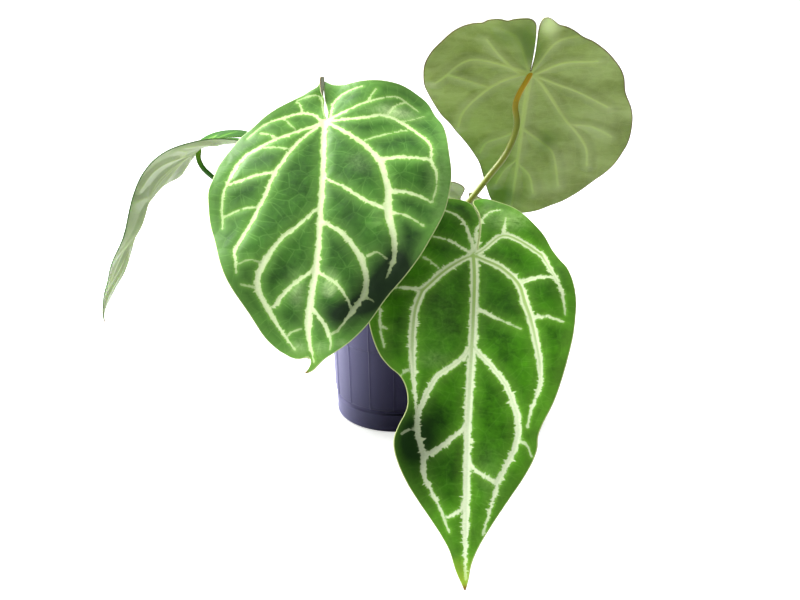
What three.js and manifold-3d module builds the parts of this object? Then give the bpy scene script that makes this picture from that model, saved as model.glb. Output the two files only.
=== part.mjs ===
// Potted anthurium: a nursery pot of potting mix, a short stem and five leaves.
// Millimetres, +Z up. The origin is the centre of the pot's underside.
// The plant is seen from -Y: -X is on the left and +Y is the back.

import * as THREE from 'three';
import { mergeVertices } from 'three/addons/utils/BufferGeometryUtils.js';
import Module from 'manifold-3d';

// Sizes of the pot: a common 9 cm nursery pot.
const POT_HEIGHT = 92;
const BASE_RADIUS = 37.8;
const RIM_RADIUS = 44.5;
const WALL = 1.2;
const FLOOR = 1.6;
const RIB_COUNT = 16;
const RIB_PROUD = 0.5;
const RIB_HALF_ANGLE = 1.3;
const DRAIN_COUNT = 6;
const DRAIN_RADIUS = 3.5;
const DRAIN_CIRCLE = 26;

// Sizes of the mix and the stem.
const GAP = 0.3;
const MIX_TOP = 80;
const MIX_ROUGH = 1.5;
const STEM_RADIUS = 9;
const STEM_FOOT = 58;
const STEM_TOP = 95;

// Sizes of the leaves.
const BLADE_THICKNESS = 0.7;
const VEIN_DEPTH = 1.0;
const VEIN_SPREAD = 4.0;
const NOTCH_SHARE = 0.3;
const LEVEL_ANGLE = -0.2;
const STALK_GAP = 0.35;
const SOCKET_START = 7.5;

// Each blade is given flat: x across it, y from the point where the stalk joins it to the tip.
// right (+x) and left (-x) are its two margins, from the bottom of the notch round to the tip,
// and corners counts the points to the corner of the right lobe and of the left lobe.
// pos, az, droop and roll place it; the bends curve it in degrees for each 100 mm of length.
// fold lifts both halves as a slope, arch lets them fall, swells are soft local lifts
// [x, y, radius, height] and wave is the waved edge [height, count, phase, centre]. spine is the
// midrib where it isn't straight.
const LEAVES = {
  front_left: {
    pos: [-37, -75, 205], az: -92, droop: 33, roll: 0, tip_bend: 25, lobe_bend: 5, twist: 0,
    fold: 0.12, arch: 7, swells: [[-6, -22, 8, 4]], wave: [1.5, 7, 0.6, 45],
    right: [[0.7, -2.2], [0.9, -6], [-0.1, -11.4], [-1.1, -16.5], [-1.8, -23], [-2.4, -28.6],
      [-2, -31.3], [0.4, -28.9], [3, -27.2], [9, -26], [18, -26.9], [32, -27.3], [40.8, -26.6],
      [47.5, -24], [53.7, -19.8], [58.4, -10], [62, -3], [64.1, 6], [65.5, 18], [67, 32],
      [66, 42], [63.5, 54], [58, 68], [52, 80], [45, 90], [36, 101], [26, 116], [18, 124.3],
      [10.4, 129.8], [6.5, 132.4], [4.6, 134.1], [2.6, 136.2], [0.9, 137.9], [-1.8, 139.4],
      [-4, 139.6]],
    left: [[0.7, -2.2], [-0.5, -6], [-1.5, -11.4], [-2.1, -16.5], [-2.5, -23], [-3, -29.5],
      [-3.5, -34.5], [-4.6, -37.2], [-5.4, -34.3], [-5.3, -28.4], [-6.2, -22.8], [-11, -19.8],
      [-17, -16], [-24.6, -8.6], [-31.3, -1.4], [-37.8, 6], [-44, 12], [-49, 20], [-53.2, 29],
      [-55.4, 38], [-57.2, 45], [-56.8, 52], [-55, 63.3], [-51.7, 73.3], [-47.6, 86],
      [-43.1, 95.5], [-32.2, 111], [-24, 122.9], [-17.5, 128.6], [-14, 130.6], [-10.4, 132.3],
      [-7.3, 132.8], [-4.3, 132.3], [-2.3, 131.7], [-1.1, 132.7], [-0.9, 134.6], [-2.1, 137.3],
      [-4, 139.6]],
    spine: [[0, 0], [0, 60], [0, 110], [0.3, 124], [1.2, 130], [1.4, 133.5], [-0.4, 137.2],
      [-4, 139.6]],
    veins: [[[0, 0], [1, 40], [1, 75], [-2, 105], [0, 128], [0.8, 134]],
      [[0, 0], [7, -4], [22, -12], [38, -18], [49, -11]],
      [[0, 0], [20, -1], [43, 1], [56, 20], [59, 33]],
      [[0, 0], [21, 16], [31, 29], [35, 50], [39, 79], [35, 90]],
      [[2, 36], [19, 48], [34, 56]],
      [[1, 62], [10, 67], [22, 81], [24, 102], [12, 120]],
      [[0, 0], [-13, -5], [-30, 4], [-40, 13]],
      [[0, 0], [-24, 14], [-43, 29], [-49, 49]],
      [[0, 0], [-16, 21], [-27, 47], [-41, 79], [-39, 88]],
      [[1, 54], [-12, 67], [-24, 81], [-27, 97], [-15, 121]]],
    corners: [6, 7], stalk_radius: 1.75,
    stalk: [[-18, -38, 128], [-31, -61, 168]], stalk_foot: [-116, 89], rays: 36, rings: 7,
  },
  front_right: {
    pos: [41, -108, 142], az: -93, droop: 33, roll: 0, tip_bend: 25, lobe_bend: 5, twist: 0,
    fold: 0.15, arch: 6, swells: [[-10, -26, 14, 4]], wave: [1, 9, 1, 50],
    right: [[2, -3.5], [2.7, -8], [3.4, -14], [3.6, -20], [2.8, -26], [1, -31.5],
      [-0.6, -35.5], [0, -38.6], [4.5, -39.6], [14, -33.5], [23, -27.2], [29.7, -21.1],
      [36.9, -12.6], [40.9, -3.4], [44.2, 3], [47.9, 9], [50.7, 18], [51.9, 28], [51.2, 38],
      [49.7, 48], [46.7, 60], [43.2, 72], [39.5, 82], [34, 93], [32.1, 98.5], [31.8, 104],
      [29.8, 110.2], [25, 119], [17.6, 129.9], [10.6, 140.3], [4.3, 151], [1.1, 159],
      [-0.2, 166], [-1.5, 171.2]],
    left: [[2, -3.5], [2.4, -8], [3.1, -14], [3.3, -20], [2.4, -25.8], [0.5, -31],
      [-1.6, -35.2], [-6, -37.9], [-16, -37], [-29, -30], [-40, -19], [-49, -4], [-54, 14],
      [-54.6, 28], [-54, 35], [-52, 44], [-50, 51], [-46, 60], [-41, 66], [-36, 70], [-33, 75],
      [-31.5, 82], [-32, 87], [-35.2, 94], [-37.5, 100], [-37.7, 105], [-35.7, 112.3],
      [-30.8, 122.4], [-25, 131.4], [-18.6, 140.3], [-13.6, 147.4], [-9.9, 153.6], [-5.7, 163],
      [-1.5, 171.2]],
    veins: [[[0, 0], [0, 40], [-1.5, 80], [-2, 130], [-1.5, 171]],
      [[0, 0], [15, -11], [35, 0], [45, 25], [46, 35]],
      [[0, 0], [15, 10], [26, 30], [33, 62], [28, 88]],
      [[0, 54], [16, 73], [22, 95], [12, 122], [6, 145]],
      [[0, 0], [-7, -22], [-15, -26]],
      [[0, 0], [-14, 11], [-29, 34], [-30, 56], [-27, 88]],
      [[0, 55], [-18, 71], [-26, 95], [-23, 115], [-10, 145]]],
    corners: [7, 7], stalk_radius: 1.75,
    stalk: [[12, -32, 105], [27, -68, 119]], stalk_foot: [-68, 86], rays: 40, rings: 7,
  },
  back_right: {
    pos: [83, 35, 211], az: 88, droop: 50, roll: 0, tip_bend: 15, lobe_bend: -5, twist: 0,
    fold: 0.1, arch: 4, swells: [], wave: [1.2, 8, 0.3, 40],
    right: [[-0.2, -3], [-0.9, -15], [-1.2, -26], [-1, -36.5], [-0.1, -42.7], [3.4, -47],
      [13.2, -49], [17, -48.2], [22, -50], [28.2, -48.5], [31.3, -45.1], [36, -43],
      [41.6, -38.8], [47.3, -33.4], [55, -25], [61, -19], [65.1, -11.3], [66, -1], [65.2, 11],
      [62.3, 22.2], [59, 31], [55, 39], [49, 47], [44, 55.7], [38.4, 65], [32.5, 74.8],
      [28.1, 83.4], [25.3, 94], [22, 107], [19, 117], [15, 124.5], [9, 128.5], [6, 131],
      [4.5, 135]],
    left: [[-0.2, -3], [-1.5, -15], [-1.9, -26], [-2, -36], [-2.7, -41.8], [-4.5, -45],
      [-7, -45.1], [-10.3, -42.8], [-14.3, -38.9], [-19.2, -37.5], [-24, -35.2],
      [-29.2, -31.9], [-35.5, -29.6], [-43.4, -22.6], [-51.3, -10.3], [-58.5, 3.8],
      [-61.2, 16], [-66, 27], [-69, 38], [-70.6, 52], [-69.8, 62.4], [-66.3, 72],
      [-61.8, 82.5], [-54.7, 95.7], [-44.6, 108.8], [-34.4, 115.2], [-22, 119.5],
      [-14.4, 123.2], [-6.2, 126.5], [0, 128.5], [3, 131.5], [4.5, 135]],
    veins: [[[0, 0], [1, 40], [3, 90], [4.5, 135]],
      [[0, 0], [11, -34], [19, -41]],
      [[0, 0], [20, -17], [28, -30]],
      [[0, 0], [37, -10], [58, 7]],
      [[0, 0], [25, 17], [41, 41], [43, 50]],
      [[1, 50], [24, 65], [28, 74]],
      [[0, 0], [-21, -10], [-40, -12]],
      [[0, 0], [-35, 20], [-52, 30]],
      [[0, 0], [-25, 41], [-42, 67], [-45, 85]],
      [[1, 50], [-20, 72], [-27, 103]]],
    corners: [5, 5], stalk_radius: 2.0,
    stalk: [[26, 7, 112], [46, 12, 135.8], [56.6, 15.8, 148.9], [69, 19.6, 165.1],
      [74.9, 23.5, 181.2], [73.9, 27.3, 192.3], [75.7, 29.2, 198.1]],
    stalk_foot: [18, 90], rays: 36, rings: 7,
  },
  left: {
    pos: [-121, 12, 170], az: 195.8, droop: 28.3, roll: 14.3, tip_bend: 45.6, lobe_bend: 143.5,
    twist: -5.9, fold: -0.04, arch: -9.6,
    swells: [[42, -12, 22, -5.4], [46, 22, 22, 2.1], [34, 60, 22, -10], [18, 95, 22, -0.2],
      [-42, -12, 22, -1.7], [-46, 22, 22, -13], [-34, 60, 22, -8.4], [-18, 95, 22, -9],
      [-25, -28, 22, 4.3], [25, -28, 22, -3.1]],
    wave: [0, 1, 0, 40],
    right: [[0, -3], [1.6, -14], [2.5, -26], [12.7, -33], [25.4, -32], [37.1, -25],
      [45.2, -13], [49.1, 2], [52.4, 20], [52.1, 40], [49.2, 58], [39.3, 77], [24.5, 96],
      [9.4, 113], [0, 129]],
    left: [[0, -3], [-1.6, -14], [-2.6, -26], [-12.9, -33], [-25.9, -32], [-38.2, -25],
      [-47.4, -13], [-53.2, 2], [-64, 20], [-60.8, 40], [-47.9, 58], [-36.9, 77], [-22.7, 96],
      [-8.9, 113], [0, 129]],
    veins: [[[0, 0], [0, 129]],
      [[0, 0], [22, -12], [40, -8]],
      [[0, 0], [26, 10], [46, 34]],
      [[0, 0], [20, 24], [34, 60], [30, 76]],
      [[0, 45], [16, 66], [16, 96]],
      [[0, 0], [-22, -12], [-40, -8]],
      [[0, 0], [-26, 10], [-46, 34]],
      [[0, 0], [-20, 24], [-34, 60], [-30, 76]],
      [[0, 45], [-16, 66], [-16, 96]]],
    corners: [2, 2], stalk_radius: 1.55,
    stalk: [[-44, 3, 112], [-82, 6, 135], [-104, 7.5, 146.5], [-111.8, 8, 151.7],
      [-118.6, 9, 158.2], [-121, 10.5, 164]],
    stalk_foot: [175, 86], rays: 30, rings: 6,
  },
  back: {
    pos: [47, 58, 114], az: 80, droop: 45, roll: 0, tip_bend: 20, lobe_bend: 10, twist: 0,
    fold: 0.08, arch: 3, swells: [], wave: [0.8, 6, 0, 30],
    right: [[-0.6, -3], [1.6, -12], [2.2, -20], [0, -28], [-1.6, -36], [2, -43], [6.5, -45.5],
      [16, -43], [26, -38], [36, -26], [42, -8], [42, 12], [37, 32], [28, 50], [16, 68],
      [6, 80], [0, 88]],
    left: [[-0.6, -3], [-2.2, -12], [-3, -19], [-3.2, -25], [-4, -28.5], [-6.4, -28.3],
      [-9, -23], [-13, -18.5], [-19.5, -12.5], [-28, -5], [-33, 8], [-34, 22], [-30, 38],
      [-22, 55], [-12, 72], [-5, 82], [0, 88]],
    veins: [[[0, 0], [0, 88]],
      [[0, 0], [16, -18], [26, -22]],
      [[0, 0], [20, 8], [30, 30]],
      [[0, 28], [14, 46], [16, 60]],
      [[0, 0], [-14, 8], [-24, 24]],
      [[0, 28], [-12, 44], [-12, 58]]],
    corners: [6, 5], stalk_radius: 1.6,
    stalk: [[21, 25, 101]], stalk_foot: [52, 88], rays: 24, rings: 4,
  },
};

// Colours of the surfaces.
const COLOURS = {
  pot_plastic: 0x37344d,
  potting_mix: 0x3b2a1d,
  stem_skin: 0x6d6a3f,
  stalk_skin: 0x5d7a2c,
  leaf_blade: 0x3f7d2e,
};

const wasm = await Module();
wasm.setup();
const { Manifold, Mesh } = wasm;

const radians = (degrees) => degrees * Math.PI / 180;

// The same random numbers each time, from 0 to 1.
function draws(seed) {
  let state = seed;
  return () => {
    state = (state * 1664525 + 1013904223) % 4294967296;
    return state / 4294967296;
  };
}

// Closed bodies

function bodyOf(points, faces) {
  const geometry = new THREE.BufferGeometry();
  geometry.setAttribute('position', new THREE.Float32BufferAttribute(points.flat(), 3));
  geometry.setIndex(faces.flat());
  return geometry;
}

function solidOf(geometry) {
  const plain = geometry.clone();
  plain.deleteAttribute('normal');
  plain.deleteAttribute('uv');
  const merged = mergeVertices(plain, 1e-5);
  return new Manifold(new Mesh({
    numProp: 3,
    vertProperties: new Float32Array(merged.attributes.position.array),
    triVerts: new Uint32Array(merged.index.array),
  }));
}

function geometryOf(solid) {
  const mesh = solid.getMesh();
  const geometry = new THREE.BufferGeometry();
  geometry.setAttribute('position', new THREE.BufferAttribute(mesh.vertProperties, 3));
  geometry.setIndex(new THREE.BufferAttribute(mesh.triVerts, 1));
  return geometry;
}

// The pieces of a solid that a cut has parted: only the largest is kept.
function largest(solid) {
  const pieces = solid.decompose();
  return pieces.reduce((best, piece) => (piece.volume() > best.volume() ? piece : best));
}

// A body from rings of equally many points, lowest first, each ring anticlockwise from above.
// A ring of one point closes an end; with closed set, the last ring joins the first.
function ringBody(rings, closed = false) {
  const points = rings.flat();
  const starts = [];
  rings.reduce((sum, ring) => {
    starts.push(sum);
    return sum + ring.length;
  }, 0);
  const faces = [];
  const spans = closed ? rings.length : rings.length - 1;
  for (let i = 0; i < spans; i += 1) {
    const next = (i + 1) % rings.length;
    const count = Math.max(rings[i].length, rings[next].length);
    for (let k = 0; k < count; k += 1) {
      const lower = (j) => starts[i] + (rings[i].length === 1 ? 0 : j % count);
      const upper = (j) => starts[next] + (rings[next].length === 1 ? 0 : j % count);
      if (rings[i].length > 1) faces.push([lower(k), lower(k + 1), upper(k + 1)]);
      if (rings[next].length > 1) faces.push([lower(k), upper(k + 1), upper(k)]);
    }
  }
  return bodyOf(points, faces);
}

// Smooth lines

// A smooth line through the points, bending most where they lie close together.
function smoothLine(points, steps) {
  const vectors = points.map((p) => new THREE.Vector3(p[0], p[1], p[2] ?? 0));
  const curve = new THREE.CatmullRomCurve3(vectors, false, 'centripetal');
  return curve.getPoints(steps * (points.length - 1));
}

// The same line with count + 1 points, equally spaced along it.
function evenly(line, count) {
  const lengths = [0];
  for (let i = 1; i < line.length; i += 1) {
    lengths.push(lengths[i - 1] + line[i].distanceTo(line[i - 1]));
  }
  const total = lengths[lengths.length - 1];
  const result = [];
  let i = 1;
  for (let k = 0; k <= count; k += 1) {
    const wanted = total * k / count;
    while (i < line.length - 1 && lengths[i] < wanted) i += 1;
    const share = (wanted - lengths[i - 1]) / (lengths[i] - lengths[i - 1]);
    result.push(line[i - 1].clone().lerp(line[i], share));
  }
  return result;
}

// Leaf blades

function axesOf(leaf) {
  const [az, droop, roll] = [leaf.az, leaf.droop, leaf.roll].map(radians);
  const along = new THREE.Vector3(
    Math.cos(droop) * Math.cos(az), Math.cos(droop) * Math.sin(az), -Math.sin(droop));
  const level = new THREE.Vector3(-Math.sin(az), Math.cos(az), 0);
  const above = along.clone().cross(level);
  const across = level.multiplyScalar(Math.cos(roll)).addScaledVector(above, Math.sin(roll));
  return { along, across, up: along.clone().cross(across) };
}

function distanceToLine(x, y, line) {
  let best = Infinity;
  for (let i = 1; i < line.length; i += 1) {
    const [ax, ay] = line[i - 1];
    const [dx, dy] = [line[i][0] - ax, line[i][1] - ay];
    const share = Math.min(1, Math.max(0, ((x - ax) * dx + (y - ay) * dy) / (dx * dx + dy * dy)));
    best = Math.min(best, Math.hypot(x - ax - share * dx, y - ay - share * dy));
  }
  return best;
}

// Height of the blade over its flat form: fold, arch, swells, waved edge and sunken veins.
function reliefOf(leaf, x, y) {
  let height = leaf.fold * (Math.sqrt(x * x + 9) - 3) - leaf.arch * (x / 50) ** 2;
  for (const [sx, sy, radius, lift] of leaf.swells) {
    height += lift * Math.exp(-((x - sx) ** 2 + (y - sy) ** 2) / radius ** 2);
  }
  const [rise, count, phase, centre] = leaf.wave;
  const reach = Math.hypot(x, y - centre) / 60;
  height += rise * reach ** 3 * Math.sin(count * Math.atan2(x, y - centre) + phase);
  const near = Math.min(...leaf.veins.map((line) => distanceToLine(x, y, line)));
  return height - VEIN_DEPTH * Math.exp(-((near / VEIN_SPREAD) ** 2));
}

// The point of the bent blade that belongs to a flat point.
// With k the bend along the midrib, the midrib runs as sin(k y) / k along and
// (cos(k y) - 1) / k up, and the cross-section there is turned by the same angle k y.
function bladePoint(leaf, axes, x, y) {
  const bend = radians(y > 0 ? leaf.tip_bend : leaf.lobe_bend) / 100;
  const angle = bend * y;
  const { along, across, up } = axes;
  const upHere = up.clone().multiplyScalar(Math.cos(angle)).addScaledVector(along, Math.sin(angle));
  const twist = radians(leaf.twist) / 100 * y;
  const side = across.clone().multiplyScalar(Math.cos(twist)).addScaledVector(upHere, Math.sin(twist));
  const normal = upHere.multiplyScalar(Math.cos(twist)).addScaledVector(across, -Math.sin(twist));
  return new THREE.Vector3(...leaf.pos)
    .addScaledVector(along, Math.sin(angle) / bend)
    .addScaledVector(up, (Math.cos(angle) - 1) / bend)
    .addScaledVector(side, x)
    .addScaledVector(normal, reliefOf(leaf, x, y));
}

// Outward normal of the upper side, from two short steps on the blade.
function bladeNormal(leaf, axes, x, y) {
  const acrossStep = bladePoint(leaf, axes, x + 0.4, y).sub(bladePoint(leaf, axes, x - 0.4, y));
  const alongStep = bladePoint(leaf, axes, x, y + 0.4).sub(bladePoint(leaf, axes, x, y - 0.4));
  return alongStep.cross(acrossStep).normalize();
}

// The blade as a closed sheet. In each half, straight rays run from an inner line to an outer one.
// The inner line climbs the edge of the notch from the lobe's corner and follows the midrib to the
// tip. The outer line is the margin from that corner to the tip: NOTCH_SHARE of the rays end where
// it is level with the stalk's end.
function bladeBody(leaf) {
  const axes = axesOf(leaf);
  const spine = leaf.spine ?? [[0, 0], leaf.right[leaf.right.length - 1]];
  const notch = Math.floor(NOTCH_SHARE * leaf.rays);
  const flat = [];
  const known = new Map();
  const vertex = (x, y) => {
    const key = `${x.toFixed(4)} ${y.toFixed(4)}`;
    if (!known.has(key)) {
      known.set(key, flat.length);
      flat.push([x, y]);
    }
    return known.get(key);
  };
  const triangles = [];
  const margin = [];
  for (const side of [1, -1]) {
    const line = smoothLine(side > 0 ? leaf.right : leaf.left, 12);
    const corner = 12 * leaf.corners[side > 0 ? 0 : 1];
    const inner = [...evenly(line.slice(0, corner + 1).reverse(), notch),
      ...evenly(smoothLine(spine, 12), leaf.rays - notch - 1)];
    const round = line.slice(corner);
    const level = round.findIndex((point) => Math.atan2(point.y, side * point.x) > LEVEL_ANGLE);
    const outer = [...evenly(round.slice(0, level + 1), notch).slice(0, -1),
      ...evenly(round.slice(level), leaf.rays - notch)];
    const rays = inner.map((from, i) => {
      const ray = [];
      for (let j = 0; j <= leaf.rings; j += 1) {
        const point = from.clone().lerp(outer[i], j / leaf.rings);
        ray.push(vertex(point.x, point.y));
      }
      return ray;
    });
    const edge = (from, to) => margin.push(side > 0 ? [from, to] : [to, from]);
    for (let i = 0; i < leaf.rays; i += 1) {
      for (let j = 0; j < leaf.rings; j += 1) {
        const [a, b, c, d] = [rays[i][j], rays[i + 1][j], rays[i + 1][j + 1], rays[i][j + 1]];
        const pair = [[a, b, c], [a, c, d]].filter(([p, q, r]) => p !== q && q !== r && r !== p);
        triangles.push(...pair.map(([p, q, r]) => (side > 0 ? [p, q, r] : [p, r, q])));
      }
      edge(rays[i][leaf.rings], rays[i + 1][leaf.rings]);
      if (i < notch) edge(rays[i + 1][0], rays[i][0]);
    }
  }
  const count = flat.length;
  const upper = [];
  const lower = [];
  for (const [x, y] of flat) {
    const middle = bladePoint(leaf, axes, x, y);
    const normal = bladeNormal(leaf, axes, x, y);
    upper.push(middle.clone().addScaledVector(normal, BLADE_THICKNESS / 2).toArray());
    lower.push(middle.clone().addScaledVector(normal, -BLADE_THICKNESS / 2).toArray());
  }
  const faces = [];
  for (const [p, q, r] of triangles) {
    faces.push([p, q, r], [p + count, r + count, q + count]);
  }
  for (const [p, q] of margin) {
    faces.push([p, q, q + count], [p, q + count, p + count]);
  }
  return bodyOf([...upper, ...lower], faces);
}

// Stalks

// Where a stalk stands in the stem: [compass angle, height].
function stalkFoot(leaf) {
  const [angle, height] = leaf.stalk_foot;
  return [SOCKET_START * Math.cos(radians(angle)), SOCKET_START * Math.sin(radians(angle)), height];
}

// A round stalk along its line, thick at the foot and again at the joint under the blade.
// The last ring lies flat under the blade. grow makes the stalk thicker and longer at the foot.
function stalkBody(leaf, grow = 0) {
  const axes = axesOf(leaf);
  const normal = bladeNormal(leaf, axes, 0, 0);
  const reach = BLADE_THICKNESS / 2 + STALK_GAP;
  const end = bladePoint(leaf, axes, 0, 0).addScaledVector(normal, -reach);
  const near = end.clone().addScaledVector(normal, -11);
  const last = new THREE.Vector3(...leaf.stalk[leaf.stalk.length - 1]);
  const through = [stalkFoot(leaf), ...leaf.stalk];
  if (last.distanceTo(end) > 18) through.push(near.toArray());
  const line = evenly(smoothLine([...through, end.toArray()], 16), 18);
  if (grow > 0) line[0].add(line[0].clone().sub(line[1]).normalize().multiplyScalar(grow));
  let side = new THREE.Vector3(0, 0, 1);
  const rings = line.map((point, i) => {
    const ahead = line[Math.min(i + 1, line.length - 1)];
    const tangent = ahead.clone().sub(line[Math.max(i - 1, 0)]).normalize();
    side = side.addScaledVector(tangent, -side.dot(tangent)).normalize();
    const other = tangent.clone().cross(side);
    const u = i / (line.length - 1);
    const radius = grow + leaf.stalk_radius + 0.9 * Math.exp(-((u / 0.1) ** 2))
      + 0.45 * Math.exp(-(((u - 0.95) / 0.07) ** 2));
    const ring = [];
    for (let k = 0; k < 9; k += 1) {
      const turn = 2 * Math.PI * k / 9;
      const corner = point.clone()
        .addScaledVector(side, radius * Math.cos(turn))
        .addScaledVector(other, radius * Math.sin(turn));
      if (i === line.length - 1) {
        const short = normal.dot(end.clone().sub(corner)) / normal.dot(tangent);
        corner.addScaledVector(tangent, short);
      }
      ring.push(corner.toArray());
    }
    return ring;
  });
  return ringBody([[line[0].toArray()], ...rings, [end.toArray()]]);
}

// The pot

// Angles round the pot: each rib has two foot angles and a crest, with one angle between ribs.
function potAngles() {
  const angles = [];
  for (let k = 0; k < RIB_COUNT; k += 1) {
    const crest = -91.4 + 360 * k / RIB_COUNT;
    angles.push([crest - RIB_HALF_ANGLE, 0], [crest, 1], [crest + RIB_HALF_ANGLE, 0]);
    angles.push([crest + 180 / RIB_COUNT, 0]);
  }
  return angles;
}

function potRing(radius, z, rib = 0) {
  return potAngles().map(([angle, crest]) => {
    const r = radius + rib * crest;
    return [r * Math.cos(radians(angle)), r * Math.sin(radians(angle)), z];
  });
}

// Inner radius of the wall at a height.
const innerRadius = (z) => BASE_RADIUS + 0.6 + (z / POT_HEIGHT) * 3.2 - WALL;

function potBody() {
  const outline = [
    [BASE_RADIUS - 0.9, 0, 0],
    [BASE_RADIUS + 0.2, 0.8, 0],
    [BASE_RADIUS + 0.2, 2.2, 0],
    [BASE_RADIUS - 0.1, 2.8, 0],
    [BASE_RADIUS + 0.4, 11.6, 0],
    [BASE_RADIUS - 0.1, 12.4, 0],
    [BASE_RADIUS - 0.1, 14, 0],
    [BASE_RADIUS + 0.9, 15, RIB_PROUD],
    [BASE_RADIUS + 2.3, 54.4, RIB_PROUD],
    [BASE_RADIUS + 2.9, 55.2, RIB_PROUD],
    [BASE_RADIUS + 4, 84.6, RIB_PROUD],
    [RIM_RADIUS, 85.6, 0],
    [RIM_RADIUS, 91.2, 0],
    [RIM_RADIUS - 0.7, POT_HEIGHT, 0],
    [innerRadius(POT_HEIGHT) + 1.6, POT_HEIGHT, 0],
    [innerRadius(POT_HEIGHT) + 0.8, 90, 0],
    [innerRadius(86), 85, 0],
    [innerRadius(FLOOR), FLOOR, 0],
  ];
  const rings = outline.map(([radius, z, rib]) => potRing(radius, z, rib));
  let pot = solidOf(ringBody([[[0, 0, 0]], ...rings, [[0, 0, FLOOR]]]));
  for (let k = 0; k < DRAIN_COUNT; k += 1) {
    const angle = radians(30 + 360 * k / DRAIN_COUNT);
    const hole = new THREE.CylinderGeometry(DRAIN_RADIUS, DRAIN_RADIUS, 6, 14);
    hole.rotateX(Math.PI / 2);
    hole.translate(DRAIN_CIRCLE * Math.cos(angle), DRAIN_CIRCLE * Math.sin(angle), 1);
    pot = pot.subtract(solidOf(hole));
  }
  return pot;
}

// The potting mix: it fills the pot, with a lumpy top.
function mixBody() {
  const draw = draws(11);
  const bottom = FLOOR + GAP;
  const edge = (z) => innerRadius(z) - GAP;
  const top = [];
  for (const share of [1, 0.86, 0.72, 0.58, 0.44, 0.3]) {
    top.push(potRing(edge(MIX_TOP) * share, MIX_TOP).filter((_, k) => k % 2 === 1).map(([x, y]) => {
      const lump = share === 1 ? -1.2 * draw() : MIX_ROUGH * (2 * draw() - 1);
      return [x, y, MIX_TOP + lump + 1.5 * (1 - share)];
    }));
  }
  const low = potRing(edge(bottom), bottom).filter((_, k) => k % 2 === 1);
  const rings = [[[0, 0, bottom]], low, ...top, [[0, 0, MIX_TOP + 1]]];
  return solidOf(ringBody(rings));
}

// The stem: short and thick, ringed by the scars of old leaves. grow makes it thicker.
function stemBody(grow = 0) {
  const outline = [[7.6, STEM_FOOT], [8.6, 66], [STEM_RADIUS, 78], [9.7, 82], [9.1, 84],
    [10.1, 88], [9.4, 89.6], [8.2, 92.4], [5.4, 94.4]];
  const rings = outline.map(([radius, z], i) => {
    const ring = [];
    for (let k = 0; k < 24; k += 1) {
      const turn = 2 * Math.PI * k / 24;
      ring.push([(radius + grow) * Math.cos(turn), (radius + grow) * Math.sin(turn),
        i === 0 ? z - grow : z]);
    }
    return ring;
  });
  return solidOf(ringBody([[[0, 0, STEM_FOOT - grow]], ...rings, [[0, 0, STEM_TOP + grow]]]));
}

// The whole plant

function pieceOf(name, geometry, slot) {
  const material = new THREE.MeshStandardMaterial({ color: COLOURS[slot], roughness: 0.6 });
  material.name = slot;
  const mesh = new THREE.Mesh(geometry, material);
  mesh.name = name;
  return mesh;
}

const plant = new THREE.Group();
plant.name = 'potted_anthurium';

let stem = stemBody();
const mix = largest(mixBody().subtract(stemBody(GAP)));
for (const [name, leaf] of Object.entries(LEAVES)) {
  stem = stem.subtract(solidOf(stalkBody(leaf, GAP)));
  plant.add(pieceOf(`blade_${name}`, bladeBody(leaf), 'leaf_blade'));
  plant.add(pieceOf(`stalk_${name}`, stalkBody(leaf), 'stalk_skin'));
}
plant.add(pieceOf('pot', geometryOf(potBody()), 'pot_plastic'));
plant.add(pieceOf('potting_mix', geometryOf(mix), 'potting_mix'));
plant.add(pieceOf('stem', geometryOf(largest(stem)), 'stem_skin'));

export default plant;
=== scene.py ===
"""A young anthurium in its nursery pot: the leaves, stalks, stem, potting mix and pot as the eye sees them.

Everything is worked out in millimetres in the plant's own frame (+Z up, origin under the middle of the pot,
seen from -Y) and put into the meshes in metres.
"""
import bpy
import numpy as np
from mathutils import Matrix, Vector


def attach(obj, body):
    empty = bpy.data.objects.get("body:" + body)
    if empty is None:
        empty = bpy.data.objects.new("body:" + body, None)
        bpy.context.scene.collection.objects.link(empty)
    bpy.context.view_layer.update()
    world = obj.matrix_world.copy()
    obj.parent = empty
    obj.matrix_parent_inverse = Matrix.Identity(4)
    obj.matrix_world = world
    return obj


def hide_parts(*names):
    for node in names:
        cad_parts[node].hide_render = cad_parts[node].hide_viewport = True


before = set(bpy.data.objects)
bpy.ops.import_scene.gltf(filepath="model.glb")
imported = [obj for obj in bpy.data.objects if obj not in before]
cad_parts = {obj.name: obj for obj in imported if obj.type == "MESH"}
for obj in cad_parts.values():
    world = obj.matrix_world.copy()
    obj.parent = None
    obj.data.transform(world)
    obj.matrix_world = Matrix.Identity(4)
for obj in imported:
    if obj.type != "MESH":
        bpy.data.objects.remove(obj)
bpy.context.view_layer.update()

# Pot, mix and stem, in millimetres
POT_HEIGHT = 92.0
BASE_RADIUS = 37.8
RIM_RADIUS = 44.5
WALL = 1.2
FLOOR = 1.6
RIB_COUNT = 16
RIB_PROUD = 0.55
RIB_TURN = -91.4
DRAIN_COUNT = 6
DRAIN_RADIUS = 3.5
DRAIN_CIRCLE = 26.0
GAP = 0.3
MIX_TOP = 80.0
STEM_FOOT = 58.0
STEM_TOP = 95.0

# Leaves, in millimetres
BLADE_THICKNESS = 0.7
LIP = 0.5
VEIN_DEPTH = 0.65
THINNEST_VEIN = 1.15
STALK_GAP = 0.35
SOCKET_START = 7.5

# How a blade is divided: points per step of its drawn lines, steps from the notch's bottom to the stalk,
# the share of the rays beside the notch, the angle at which a margin is level with the stalk, in radians,
# and in how many goes the distances to the margin are measured, which spares memory
LINE_POINTS = 12
CLIMB_STEPS = 4
NOTCH_SHARE = 0.3
LEVEL_ANGLE = -0.2
GOES = 12

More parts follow.
